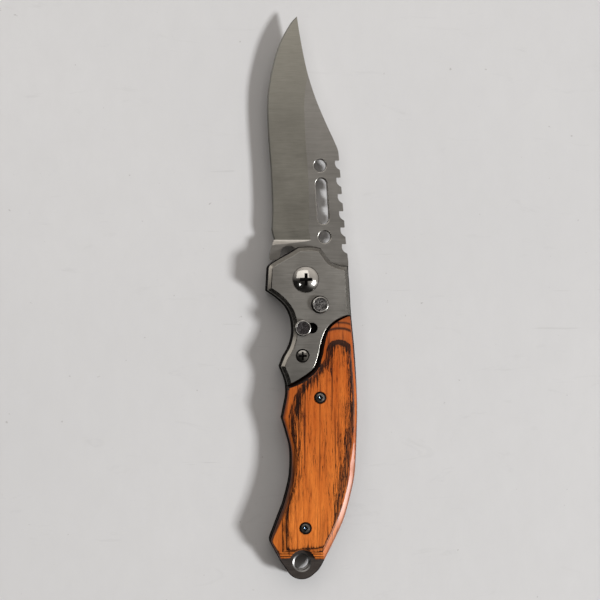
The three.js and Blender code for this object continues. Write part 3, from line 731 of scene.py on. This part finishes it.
# Handle outline, counterclockwise from the guard corner
GUARD = (-14.8, -4.2)
FIRST_POINT = (-9.65, -33.2)
SECOND_POINT = (-8.85, -52.8)
BUTT_START = (-12.6, -97.0)
BUTT_END = (-12.35, -102.2)
TOP_RIGHT = (16.6, 5.3)
CREST_RIGHT = (6.0, 12.1)
CREST_LEFT = (-2.55, 12.45)
GUARD_TOP = (-14.35, 4.4)
handle = [
    *run([GUARD, (-10.7, -7), (-7.25, -10.5), (-5.3, -14.8), (-4.8, -20.2), (-5.9, -25.2),
          (-8.2, -29.5), FIRST_POINT]),
    *run([FIRST_POINT, (-7.5, -38.8), (-7.1, -43.5), (-8.05, -49), SECOND_POINT]),
    *run([SECOND_POINT, (-7.25, -58.2), (-5.7, -64.4), (-5.45, -70.5), (-6.05, -77),
          (-8.15, -85.3), (-10.4, -91.2), BUTT_START]),
    *run([BUTT_START, (-13.2, -98.7), (-13.35, -99.7), (-13.1, -100.8), BUTT_END], 4),
    BUTT_END,
    (-9.2, -108),
    *arc(LANYARD, LUG_R, 205, 310, 40),
    *run([(5.1, -111.5), (6.4, -109.6), (7.9, -106.7), (11.9, -98.8), (15.2, -91.2),
          (18.0, -80.9), (19.4, -72.6), (20.085, -57.3), (20.185, -46), (19.3, -28.8),
          (17.9, -13.5), (17.2, -2.1), TOP_RIGHT]),
    *run([TOP_RIGHT, (13.4, 5.5), (9.8, 7.2), (7, 10.85), CREST_RIGHT]),
    *run([CREST_RIGHT, (2.4, 12.65), CREST_LEFT]),
    *run([CREST_LEFT, (-6, 10.3), (-9.8, 8.2), (-13.4, 5.9), GUARD_TOP]),
    GUARD_TOP,
]

# Seam between bolster and scale, right to left, and the fields on its two sides
seam = run([(26, -13.4), (18, -13.5), (15.7, -13.7), (11.2, -15.8), (7.7, -19.2), (5.8, -24.2),
            (4.8, -29.1), (3, -33.7), (-1, -37.1), (-5.8, -39.8), (-16, -44)])
bolster_field = [*seam, (-30, -44), (-30, 30), (30, 30), (30, -13.4)][::-1]
scale_field = [(-30, -130), (30, -130), (30, -13.4), *seam, (-30, -44)]
tail_field = [(-30, -112), (-9.4, -106.6), *arc(LANYARD, TAIL_R, 155, 15, 32), (7.5, -106.9),
              (30, -106.9), (30, 0), (-30, 0)]
tail_flat = [(-30, -112.04), (-9.4, -106.64), (7.5, -106.93), (30, -106.94), (31, 0), (-31, 0)]

# Liners and backspacer
LEDGE = 0.3
BACK_LEDGE = 0.27
# Depth of a shallow cut under the safety slot, whose floor takes the black edge finish as painted
# shade
SLOT_SHADE_DEPTH = 0.03
LINER_BEVEL = 0.12
slot_end = (KNOB[0] + SAFETY_TRAVEL + 0.2, KNOB[1])
# The steel and wood step further in along the upper back than along the rest
stepped = [(x - BACK_LEDGE * max(0.0, min(1.0, (y + 43) / 9)) if x > 12 and y < 5.31 else x, y)
           for x, y in handle]


def liner_finish(face):
    """Dark faces; edges, and the floor under the safety slot, painted black as shade; a bare
    countersink at the lanyard hole.
    """
    at, upright = face.center, abs(face.normal.z)
    if upright > 0.99:
        # Painted shade: the floor under the safety slot takes the black edge finish
        return int(FRONT_Z - SLOT_SHADE_DEPTH - 0.01 < at.z < FRONT_Z - 0.01)
    return 2 if upright > 0.5 and math.dist(LANYARD, at.xy) < LANYARD_R + 0.3 else 1


def lanyard_cutter(z0, z1):
    """The hole through a liner, countersunk from both faces."""
    sink = [(LANYARD_R + 0.1, 0), (LANYARD_R + 0.05, 0.03), (LANYARD_R - 0.5, 0.27),
            (LANYARD_R - 0.56, 0.37)]
    low = [(r, z0 + depth) for r, depth in sink]
    high = [(r, z1 - depth) for r, depth in reversed(sink)]
    return turned([(0, z0 - 1), (sink[0][0], z0 - 1), *low, *high, (sink[0][0], z1 + 1),
                   (0, z1 + 1)], LANYARD, 72)


def liner(z0, z1, *holes):
    layers = [(z0, LEDGE), (z0 + LINER_BEVEL, 0), (z1 - LINER_BEVEL, 0), (z1, LEDGE)]
    cuts = [lanyard_cutter(z0, z1), disc(STOP, STOP_R, z0 - 1, z1 + 1)]
    cuts += [disc(at, SPACER_PIN_R, z0 - 1, z1 + 1, 32) for at in SPACER_PINS]
    cuts += [disc(at, SHANK_R + 0.05, z0 - 1, z1 + 1, 32)
             for at in (BOLSTER_SCREW, *SCALE_SCREWS)]
    return sorted_faces(less(layered(handle, layers), *cuts, *holes), liner_finish)


finished("liner_front", liner(
    FRONT_LINER_Z, FRONT_Z, disc((0, 0), PIVOT_HOLE_R, 7, 10), disc(BUTTON, 1.0, 7, 10),
    prism(slot_outline(KNOB, slot_end, SLOT_HALF + 0.2), FRONT_Z - SLOT_SHADE_DEPTH, 10)),
    LINER_SET, "dark_steel", "front_liner")
finished("liner_rear", liner(
    REAR_LINER_Z, GAP_Z, disc((0, 0), COIL_POCKET_R, 3, 5),
    disc(BUTTON, COLLAR_HOLE_R, 3, 5)), LINER_SET, "dark_steel", "rear_liner")

# Blade outline: edge side from tip to heel, tang, then the spine with its saw teeth
edge_side = [
    *run([TIP, (-5.4, 98.3), (-8.9, 92), (-11.2, 85.7), (-13.1, 77.6), (-14.1, 70.5),
          (-14.25, 63.3), (-13.7, 52.6), (-12.9, 42), (-12.4, 30.7), (-12.35, 24.9),
          (-12.6, 19.1)]),
    *run([(-12.6, 19.1), (-12.1, 16.8), (-11.6, GRIND_Y)], 3),
    *run([(-11.6, GRIND_Y), (-12.4, 13.3), (HEEL_X, 9.5), (HEEL_X, HEEL_Y)], 6),
    (HEEL_X, HEEL_Y),
]


def spine_x(y):
    """The spine's two straight runs, which meet at the first tooth."""
    first = TOOTH_TOPS[0]
    if y < first:
        return SPINE_X + (first - y) * 0.9 / 6.9
    return SPINE_X - (y - first) * 2.7 / 32.3


def tooth(top):
    low = top - TOOTH_OPEN
    root = spine_x(top) - TOOTH_DEPTH
    return [(spine_x(low), low), *run([(root + 1.05, low + 0.55), (root + 0.4, low + 1.25),
            (root, low + 2.2)], 4), (root, low + 2.2), (root, top - 0.15), (root + 0.1, top),
            (spine_x(top) - 0.1, top), (spine_x(top), top + 0.1)]


spine = [(16.9, SHOULDER_Y), (17, 6.8)]
for top in TOOTH_TOPS:
    spine += tooth(top)
spine += run([(13.3, 47.6), (12.9, 49.9), (11.5, 53.3), (8.05, 60.7), (4.2, 69.9),
              (0.94, 80.3), (-1.45, 92.2), TIP])


def on_tang(centre, heading):
    """Direction from a notch's centre to the point of the tang's rim at a heading."""
    return angle_about(centre, arc((0, 0), TANG_R, heading, heading, 1)[0])


open_left, open_right = meeting(TANG_R, BUTTON, OPEN_NOTCH_R)
shut_left = meeting(TANG_R, SHUT_NOTCH, SHUT_NOTCH_R)[1]
shoulder_angle = math.degrees(math.asin(SHOULDER_Y / TANG_R))
tang = [
    (-9.65, HEEL_Y),
    *arc(SHUT_NOTCH, SHUT_NOTCH_R, 205, on_tang(SHUT_NOTCH, shut_left), 48),
    *arc((0, 0), TANG_R, shut_left, open_left + 360, 64)[1:],
    *arc(BUTTON, OPEN_NOTCH_R, on_tang(BUTTON, open_left), on_tang(BUTTON, open_right), 24)[1:],
    *arc((0, 0), TANG_R, open_right, shoulder_angle, 12)[1:],
]


def grind_cutter(side):
    """Takes one face of the blade down from the grind line to the edge, and hones the edge."""
    middle = BLADE_Z + BLADE_T / 2
    slope = (BLADE_T / 2 - EDGE_HALF) / GRIND_W
    out = 4
    ends = [p for p in edge_side if p[1] >= GRIND_Y][::-1]
    stations = []
    for step in range(13):
        t = step / 12
        rise = PLUNGE_RISE * (1 - t) ** 1.6
        stations.append((ends[0][0], PLUNGE_Y + (GRIND_Y - PLUNGE_Y) * t, rise))
    stations += [(x, y, 0) for x, y in ends[1:]]
    stations.append((ends[-1][0] + 3, ends[-1][1] + 3, 0))
    points = []
    hone = EDGE_HALF + slope * HONE_W
    for x, y, rise in stations:
        for px, half in ((x - out, HONE_HALF - (hone - HONE_HALF) * out / HONE_W),
                         (x + HONE_W, hone), (x + GRIND_W, BLADE_T / 2)):
            points.append((px, y, middle + side * (rise + half)))
        points += [(x + GRIND_W, y, middle + side * 5), (x - out, y, middle + side * 5)]
    end = 5 * (len(stations) - 1)
    return form(points, [tuple(range(5)), *bands(len(stations), 5), tuple(range(end, end + 5))])


blade_top = BLADE_Z + BLADE_T
HOLE_EASE = 0.4
blade = less(
    layered([*edge_side, *tang, *spine], [(BLADE_Z, 0), (blade_top, 0)]),
    grind_cutter(1), grind_cutter(-1),
    *(eased_hole(at, WINDOW_R, BLADE_Z, blade_top, HOLE_EASE) for at in WINDOWS),
    layered(slot_outline(*SLOT_ENDS, SLOT_R + HOLE_EASE + 0.1),
            [(z, HOLE_EASE + 0.1 - out) for out, z in eased(BLADE_Z, blade_top, HOLE_EASE)]),
    disc((0, 0), PIVOT_HOLE_R, BLADE_Z - 1, blade_top + 1, 96))


def blade_finish(face):
    """Flats, ground faces, the walls of the outline and the holes, and the honed edge."""
    upright = abs(face.normal.z)
    if upright > LEVEL:
        return 0
    if upright > 0.99:
        return 1
    if face.center.x < 3 and face.center.y > PLUNGE_Y and upright > 0.6:
        return 4 if face.center.y < GRIND_Y else 3
    return 2


finished("blade_body", sorted_faces(blade, blade_finish),
         (FLAT, BLADE, BLADE_WALL, CUTTING_EDGE, PLUNGE), "blade_steel", "blade", body="blade")

# Bolsters
bevel = [(FRONT_Z, LEDGE), (TOP - 1.25, LEDGE), (TOP - 1.15, LEDGE + 0.07),
         (TOP - 1.07, LEDGE + 0.157), (TOP - 0.15, 1.454), (TOP - 0.08, 1.53),
         (TOP - 0.02, 1.66), (TOP, 1.8), (TOP, 1.9)]
RIM_R = 0.25
rim = [(FRONT_Z, 0), *arc((TOP - RIM_R, RIM_R), RIM_R, -90, 0, 4), (TOP, 0.32)]


def screw_profile(head_r, room, rise=HEAD_RISE):
    """Countersunk head and shank from the face down, or with room the hole for them."""
    top = TOP - HEAD_SINK
    land = top - 0.35
    shank = SHANK_R + room
    head = head_r + room
    if room:
        rest = [(head, TOP - 0.12), (head + 1.12, TOP + 1), (0, TOP + 1)]
    else:
        rest = [(head, top - 0.2), (head - 0.05, top - 0.1), (head - 0.16, top - 0.03)]
        rest += [(head * f, top + rise * (1 - f * f)) for f in (0.88, 0.75, 0.6, 0.45, 0.3)]
        rest.append((0, top + rise))
    return [(0, FRONT_LINER_Z - room), (shank, FRONT_LINER_Z - room), (shank, land - 1.1),
            (head, land), *rest]


def bolster():
    return within(layered(stepped, bevel), layered(bolster_field, rim))


def bolster_finish(face):
    """Brushed face; bevels smoother and darkened with painted shade; walls painted black as shade.
    """
    upright = abs(face.normal.z)
    if upright > LEVEL:
        return 0
    return 1 if upright > 0.3 else 2


slide_room = [(-3.2, -20.6), (4.6, -20.6), (4.6, -15.2), (3.6, -15.2), (3.6, -8.4),
              (-3.2, -8.4)]
front = less(
    bolster(),
    disc((0, 0), PIVOT_HOLE_R, FRONT_Z - 1, TOP + 1),
    turned([(0, TOP - DOME_SEAT), (DOME_R + DOME_FIT, TOP - DOME_SEAT),
            (DOME_R + DOME_FIT, TOP - 0.1), (DOME_R + 1.2, TOP + 1), (0, TOP + 1)],
           (0, 0), 96),
    turned([(0, FRONT_Z - 1), (BUTTON_R + SLIDE_FIT, FRONT_Z - 1),
            (BUTTON_R + SLIDE_FIT, TOP - 0.15), (BUTTON_R + SLIDE_FIT + 1.15, TOP + 1),
            (0, TOP + 1)], BUTTON, 72),
    prism(slide_room, FRONT_Z - 1, FRONT_Z + SLIDE_T + 0.2),
    prism(slot_outline(KNOB, slot_end, SLOT_HALF), FRONT_Z, TOP + 1),
    turned(screw_profile(BOLSTER_SCREW_R, HEAD_ROOM), BOLSTER_SCREW))
finished("bolster_front", sorted_faces(front, bolster_finish), BOLSTER_SET,
         "bolster_steel", "front_bolster")

leg_room = slot_outline((0, 0), (0, FIXED_LEG_R), LEG_ROOM_R, 12)
rear = less(
    flipped(bolster()),
    disc((0, 0), PIVOT_HOLE_R, -1, SIDE_T + 1),
    disc((0, 0), NUT_R + RUN, -1, NUT_T, 96),
    disc((0, 0), COIL_POCKET_R, COIL_POCKET_Z, SIDE_T + 1),
    prism(leg_room, COIL_POCKET_Z, SIDE_T + 1),
    disc(BUTTON, COLLAR_HOLE_R, POCKET_FLOOR, SIDE_T + 1),
    flipped(turned(screw_profile(BOLSTER_SCREW_R, HEAD_ROOM), BOLSTER_SCREW)))
finished("bolster_rear", sorted_faces(rear, bolster_finish), BOLSTER_SET,
         "bolster_steel", "rear_bolster")

# Scales: a rounded edge all round, and a crown that starts at the edge of the flat veneer
veneer_edge = run([
    (12.7, -24.9), (10.4, -26.1), (9.0, -32.2), (5.4, -35.4), (2.0, -39.4), (-1.4, -43.6),
    (-2.95, -47.8), (-4.1, -51.6), (-4.5, -55.4), (-4.1, -61.2), (-4.3, -68.8), (-4.9, -76.4),
    (-6.0, -84.0), (-6.95, -91.6), (-7.0, -96.0), (-7.0, -99.3), (-7.0, -102.7), (-2.2, -102.9),
    (3.5, -102.3), (7.3, -101.2), (9.2, -98.1), (11.1, -91.6), (12.3, -84.0), (13.8, -76.4),
    (15.0, -68.8), (15.9, -61.2), (17.2, -55.4), (17.95, -47.8), (18.3, -44.0), (18.1, -36.4),
    (17.4, -31.2), (16.3, -27.3), (14.6, -25.2), (12.7, -24.9)], 3)


CROWN_DROP = 0.1
CROWN_EASE = 2.2
CROWN_SLOPE = 0.11
VENEER_CORNER = (-7.0, -102.7)


def crown(x, y):
    """Height of the wood's face: nearly flat within the veneer edge, sloping away outside."""
    d = gap_to((x, y), veneer_edge + veneer_edge[:1])
    if inside((x, y), veneer_edge):
        return TOP - CROWN_DROP * math.exp(-d / CROWN_EASE)
    if x < 0 and y < -96:
        d = max(VENEER_CORNER[0] - x, VENEER_CORNER[1] - y, 0.0)
    return TOP - CROWN_DROP - CROWN_SLOPE * d


def crown_block():
    x0, y0, pitch, columns, rows = -17.5, -115.5, 0.7, 57, 148
    points = [(x0 + i * pitch, y0 + j * pitch) for j in range(rows) for i in range(columns)]
    n = len(points)
    points = ([(x, y, crown(x, y)) for x, y in points] + [(x, y, FRONT_Z - 1) for x, y in points])
    faces = []
    for j in range(rows - 1):
        for i in range(columns - 1):
            a = j * columns + i
            faces.append((a, a + 1, a + columns + 1, a + columns))
            faces.append((a + n + columns, a + n + columns + 1, a + n + 1, a + n))
    last = n - columns
    border = [*range(columns), *range(2 * columns - 1, n, columns),
              *range(n - 2, last - 1, -1), *range(last - columns, 0, -columns)]
    for a, b in zip(border, border[1:] + border[:1]):
        faces.append((b, a, a + n, b + n))
    return form(points, faces)


# Rounded edges as (z, inset): all round, along the back, at the seam and round the tail
scale_edge = [(FRONT_Z, LEDGE), (10.6, LEDGE), (11.2, 0.42), (11.6, 0.62), (11.9, 0.86),
              (12.14, 1.16), (12.32, 1.52), (12.45, 1.95), (12.54, 2.5), (12.6, 3.1), (12.7, 3.2)]
back_edge = [(FRONT_Z - 0.6, LEDGE), (10.9, LEDGE), (11.22, 0.36), (11.44, 0.52), (11.56, 0.76),
             (11.68, 1.03), (11.80, 1.3), (11.925, 1.6), (12.05, 1.9), (12.17, 2.2),
             (12.29, 2.5), (12.39, 2.8), (12.48, 3.2), (12.55, 3.7), (12.6, 4.4), (12.76, 4.6)]
back_outline = [(x - 0.03 + max(0.0, min(4.0, 0.1 * (y + 71))) if x > 0 else x - 6, y - 0.02)
                for x, y in handle]
scale_rim = [(FRONT_Z - 0.7, 0.3), (10.7, 0.3), (11.2, 0.55), (11.75, 1.15), (12.2, 1.8),
             (12.82, 2.9)]
tail_rim = [(FRONT_Z - 0.8, 0), (TOP - 0.8, 0), (TOP - 0.45, 0.1), (TOP - 0.2, 0.32),
            (TOP, 0.8), (TOP + 0.3, 0.8)]
tail_slope = [(FRONT_Z - 0.9, 0), (11.2, 0), (11.42, 0.06), (11.52, 0.16), (11.8, 1.1),
              (12.1, 2.15), (12.4, 3.2), (12.5, 3.7), (12.58, 4.4), (12.95, 5.8)]
DARK_BEVEL_REACH = 1.95


def scale():
    holes = [turned(screw_profile(SCALE_SCREW_R, HEAD_ROOM), at) for at in SCALE_SCREWS]
    whole = within(layered(stepped, scale_edge), layered(back_outline, back_edge),
                   layered(scale_field, scale_rim), layered(tail_field, tail_rim),
                   layered(tail_flat, tail_slope), crown_block())
    return sorted_faces(less(whole, *holes), scale_finish)


def scale_finish(face):
    """Wood, and its nearly black bevel along the seam."""
    sloping = 0.1 < face.normal.z < 0.93 or face.normal.z < 0.1 and face.normal.y > 0.3
    return int(sloping and gap_to(face.center.xy, seam) < DARK_BEVEL_REACH)


finished("scale_front", scale(), WOOD_SET, "wood", "front_scale")
finished("scale_rear", flipped(scale()), WOOD_SET, "wood", "rear_scale")

# Backspacer, clear of the closed blade
EDGE_ROOM = 0.6
SPACER_INSET = 0.35
closed_edge = [(-x, -y) for x, y in edge_side]
tip_reach = math.hypot(*TIP) + EDGE_ROOM
tip_angle = 180 + math.degrees(math.atan2(TIP[1], TIP[0]))
blade_room = [
    *arc((0, 0), tip_reach, 240, tip_angle + 1.2, 32),
    *[(x + EDGE_ROOM + max(0.0, (-80 - y) * 0.03), y) for x, y in closed_edge if -98 < y < -17],
    (EDGE_ROOM - HEEL_X, -15), (EDGE_ROOM - HEEL_X, -9.4), (30, -9.4), (30, 30), (-60, 30)]
backspacer = less(
    prism(inset(handle, SPACER_INSET), GAP_Z, FRONT_LINER_Z),
    prism(blade_room, GAP_Z - 1, FRONT_LINER_Z + 1),
    disc(LANYARD, LANYARD_R, GAP_Z - 1, FRONT_LINER_Z + 1),
    *(disc(at, SPACER_PIN_R, GAP_Z - 1, FRONT_LINER_Z + 1, 32) for at in SPACER_PINS))
finished("spacer_body", sorted_faces(backspacer, liner_finish), LINER_SET, "dark_steel",
         "backspacer")

# Pivot screw with a polished dome
dome_low = TOP - DOME_SEAT
dome_rim = TOP + 0.1
dome_ball = (DOME_R ** 2 + DOME_RISE ** 2) / (2 * DOME_RISE)


def dome_height(r):
    return dome_rim + DOME_RISE - dome_ball + math.sqrt(dome_ball ** 2 - r * r)


dome = [(r, dome_height(r)) for r in (DOME_R * (1 - i / 16) for i in range(16))]


def shade_recess(mesh, centre, reach, height):
    """Second finish, painted shade, for the faces of a recess, which lie below the head's surface.
    """
    def finish_of(face):
        r = math.dist(centre, face.center.xy)
        return int(r < reach and TOP - CROSS_DEEPEST < face.center.z < height(r) - 0.04)
    return sorted_faces(mesh, finish_of)


PIVOT_SHANK_R = 1.7
PIVOT_CROSS_R = 2.5
pivot_screw = less(
    turned([(0, 3), (PIVOT_SHANK_R, 3), (PIVOT_SHANK_R, dome_low), (DOME_R - 0.1, dome_low),
            (DOME_R, dome_low + 0.1), *dome, (0, dome_rim + DOME_RISE)], (0, 0), 96),
    recess((0, 0), PIVOT_CROSS_R, TOP, TOP + 2))
finished("pivot_dome", shade_recess(pivot_screw, (0, 0), PIVOT_CROSS_R + 0.1, dome_height),
         (BRIGHT, RECESS_SHADE), "bright_steel", "pivot_screw")

# Flanged barrel of the pivot, with a groove turned in its flush head
HEAD_Z = 0.17
HEAD_R = NUT_R - 0.02
BARREL_R = 2.88
BARREL_TOP = TOP - DOME_SEAT - 0.1
THREAD_LOW = 2.4
finished("barrel_body", turned([
    (0, HEAD_Z), (NUT_R - 0.95, HEAD_Z), (NUT_R - 0.87, 0.26), (NUT_R - 0.73, 0.26),
    (NUT_R - 0.65, HEAD_Z), (NUT_R - 0.3, 0.19), (NUT_R - 0.1, 0.27), (HEAD_R, 0.42),
    (HEAD_R, NUT_T - 0.04), (BARREL_R, NUT_T - 0.04), (BARREL_R, BARREL_TOP),
    (THREAD_ROOM, BARREL_TOP), (THREAD_ROOM, THREAD_LOW), (0, THREAD_LOW)], (0, 0), 96),
    (BRIGHT,), "bright_steel", "pivot_barrel")


def screw(rise, centre, head_r, bit_r, floor_z, ring_r, pit_r=0.0):
    """Countersunk screw with a cross recess and a black ring of painted shade; a pit is drilled at
    its middle.
    """
    pit_z = floor_z - 0.43 * pit_r
    brow = TOP + 0.4
    cutters = [recess(centre, bit_r, floor_z, brow)]
    if pit_r:
        cutters.append(turned([(0, pit_z), (pit_r, floor_z), (bit_r * 0.72, floor_z),
                               (bit_r * 0.72, brow), (0, brow)], centre, 32))
    made = less(turned(screw_profile(head_r, 0, rise), centre), *cutters)
    made = shade_recess(made, centre, bit_r + 0.05,
                   lambda r: TOP - HEAD_SINK + rise * (1 - (r / head_r) ** 2))
    # Painted shade on the ring round the head; the pit's finish is tinted blue as a painted
    # reflection
    for face in made.polygons:
        r = math.dist(centre, face.center.xy)
        if r > ring_r:
            face.material_index = 1
        elif r < pit_r and pit_z - 0.01 < face.center.z < floor_z - 0.01:
            face.material_index = 2
    return made


for side, rise in (("front", HEAD_RISE), ("rear", REAR_RISE)):
    turn_over = flipped if side == "rear" else (lambda mesh: mesh)
    made = screw(rise, BOLSTER_SCREW, BOLSTER_SCREW_R, bit_r=1.63, floor_z=TOP - 1.05, ring_r=2.0)
    finished(f"bolster_screw_{side}", turn_over(made), (SCREW_HEAD, RECESS_SHADE), "bright_steel",
             f"{side}_bolster_screw")
    for i, at in enumerate(SCALE_SCREWS, 1):
        made = screw(rise, at, SCALE_SCREW_R, bit_r=1.15, floor_z=TOP - 0.55, ring_r=1.66,
                     pit_r=0.36)
        finished(f"scale_screw_{side}_{i}", turn_over(made), (BLACK, RECESS_SHADE, PIT_GLINT_TINT), "black_steel",
                 f"{side}_scale_screw_{i}")


# Button and safety knob: a worn round rim about a darker flat face, with their sides painted black
# as shade
def cap(centre, r, foot, top, stem, edge=0.45):
    mesh = turned([
        *stem, (r - 0.1, foot), (r, foot + 0.1), *arc((r - edge, top - edge), edge, 0, 90, 5),
        (r - edge - 0.08, top - 0.03), (r - edge - 0.2, top - 0.05), (0, top - 0.05)], centre, 72)

    def finish_of(face):
        if math.dist(centre, face.center.xy) < r - edge - 0.05 and face.center.z > top - 0.2:
            return 1
        # Painted shade: the lower rim and sides take the black wall finish
        return 2 if face.center.z < top - edge * 0.42 else 0
    return sorted_faces(mesh, finish_of)


STEM_R = 0.95
CAP_NECK_R = 2.0
KNOB_NECK_R = 1.95
foot = TOP - 0.4
collar = foot - 1.3
finished("button_body", cap(BUTTON, BUTTON_R, foot, BUTTON_TOP, [
    (0, foot), (STEM_R, foot), (STEM_R, collar), (CAP_NECK_R, collar), (CAP_NECK_R, foot)]),
    (CAP_RIM, CAP_FACE, WALL), "dark_steel", "button_cap", body="button")
knob_low = TOP + KNOB_LIFT
slide_top = FRONT_Z + SLIDE_T
finished("knob_body", cap(KNOB, KNOB_R, knob_low, knob_low + KNOB_T, [
    (0, FRONT_Z), (STEM_R, FRONT_Z), (STEM_R, slide_top), (KNOB_NECK_R, slide_top),
    (KNOB_NECK_R, knob_low)]),
    (CAP_RIM, KNOB_FACE, WALL), "dark_steel", "safety_knob", body="safety")

# The button's return spring, built at rest; the real one shortens as the button goes down
WIRE_R = 0.2
RETURN_TURNS = 3.5
RETURN_R = 1.5
RETURN_TOP = 3.69


def helix(centre, r, z0, z1, turns, steps=112, sides=10):
    """A round wire wound about a vertical axis."""
    points = []
    for i in range(steps + 1):
        a = 2 * math.pi * turns * i / steps
        outwards = Vector((math.cos(a), math.sin(a), 0))
        wire = Vector((-math.sin(a), math.cos(a), (z1 - z0) / (2 * math.pi * r * turns)))
        upwards = outwards.cross(wire).normalized()
        middle = Vector((*centre, z0 + (z1 - z0) * i / steps)) + outwards * r
        for k in range(sides):
            b = 2 * math.pi * k / sides
            points.append(tuple(middle + (outwards * math.cos(b) + upwards * math.sin(b)) * WIRE_R))
    end = steps * sides
    return form(points, [*bands(steps + 1, sides), tuple(range(sides)),
                         tuple(range(end, end + sides))])


return_coil = helix(BUTTON, RETURN_R, POCKET_FLOOR + WIRE_R, RETURN_TOP, RETURN_TURNS)
return_spring = finished("return_coil", return_coil, (SPRING,), "spring_steel", "button_spring")
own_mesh(return_spring)

# Pieces kept from the frame take a finer finish; the safety slide takes painted shade, black in its
# slot
KEPT = {"front_washer": BRASS, "rear_washer": BRASS, "main_spring": SPRING,
        "lock_plunger": BRIGHT, "safety_slide": RECESS_SHADE, "stop_pin": BRIGHT,
        **{f"spacer_pin_{i}": BRIGHT for i in range(1, 5)}}
for name, material in KEPT.items():
    for material_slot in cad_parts[name].material_slots:
        material_slot.material = material

# Floor
FLOOR_HALF = 1.6
FLOOR_Z = -0.02 * MM
board = bpy.data.meshes.new("board")
board.from_pydata([(FLOOR_HALF * x, FLOOR_HALF * y, FLOOR_Z)
                   for x, y in ((-1, -1), (1, -1), (1, 1), (-1, 1))], [], [(0, 1, 2, 3)])
board.materials.append(paint())
floor = placed("floor", board)

# Camera: above the knife, tilted a little from its left side
TILT = math.radians(5.7)
REACH = 0.643
target = PIVOT + Vector((-1.56, -7.81, 6.3)) * MM
camera_data = bpy.data.cameras.new("camera")
camera_data.sensor_width = 36
camera_data.lens = 100.32
camera_data.clip_start = 0.01
camera = placed("camera", camera_data)
camera.location = target + Vector((-math.sin(TILT), 0, math.cos(TILT))) * REACH
camera.rotation_euler = (0, -TILT, 0)
bpy.context.scene.camera = camera


# Light
def lamp(name, place, facing, size, power, colour):
    """Rectangular area lamp at a place about the knife, which shines along -facing."""
    data = bpy.data.lights.new(name, "AREA")
    data.shape = "RECTANGLE"
    data.size, data.size_y = size
    data.energy = power
    data.color = colour
    made = placed(name, data)
    made.location = target + Vector(place)
    made.rotation_euler = Vector(facing).to_track_quat("Z", "Y").to_euler()


KEY = Vector((1.15, -0.42, 1.0)).normalized() * 6
lamp("key", KEY, KEY, (0.93, 0.93), 332, (0.97, 0.985, 1.0))
lamp("ceiling", (-0.35, 0.79, 1.15), (0, 0, 1), (1.6, 1.17), 4.7, (1.0, 0.975, 0.94))
FAR = Vector((-0.43, -0.42, 0.8)).normalized() * 3
lamp("far", FAR, FAR, (0.22, 0.22), 2.8, (1.0, 1.0, 1.0))

# The room: brighter above, towards the tip and the right, dim at the horizon
world = bpy.data.worlds.new("studio")
world.use_nodes = True
room = Graph(world.node_tree)
sky = room.tree.nodes["Background"]
sky.inputs["Color"].default_value = (1.0, 0.94, 0.89, 1)
heading = room.node("ShaderNodeTexCoord", {}, "Generated")
rising = room.dot(heading, (0, 0, 1))
light = room.most(room.plus(room.dot(heading, (0.2, 0.44, 0.0)), 0.235), 0.02)
light = room.times(light, room.range(rising, 0.0, 0.5, 0.35, 1.0))
near_horizon = room.range(rising, 0.3, 0.2)
for toward, spread in (((-0.883, 0.469, 0.0), (0.88, 0.975, 0.0, 2.0)),
                       ((-0.26, 0.966, 0.0), (0.75, 0.95, 0.0, 0.5))):
    glow = room.range(room.dot(heading, toward), *spread)
    light = room.plus(light, room.times(glow, near_horizon))
dark_corner = room.dot(heading, (-0.34, -0.36, 0.87))
light = room.times(light, room.range(dark_corner, 0.8, 0.97, 1.0, 0.25))
room.feed(sky.inputs["Strength"], light)
bpy.context.scene.world = world

bpy.context.scene.view_settings.view_transform = "Standard"
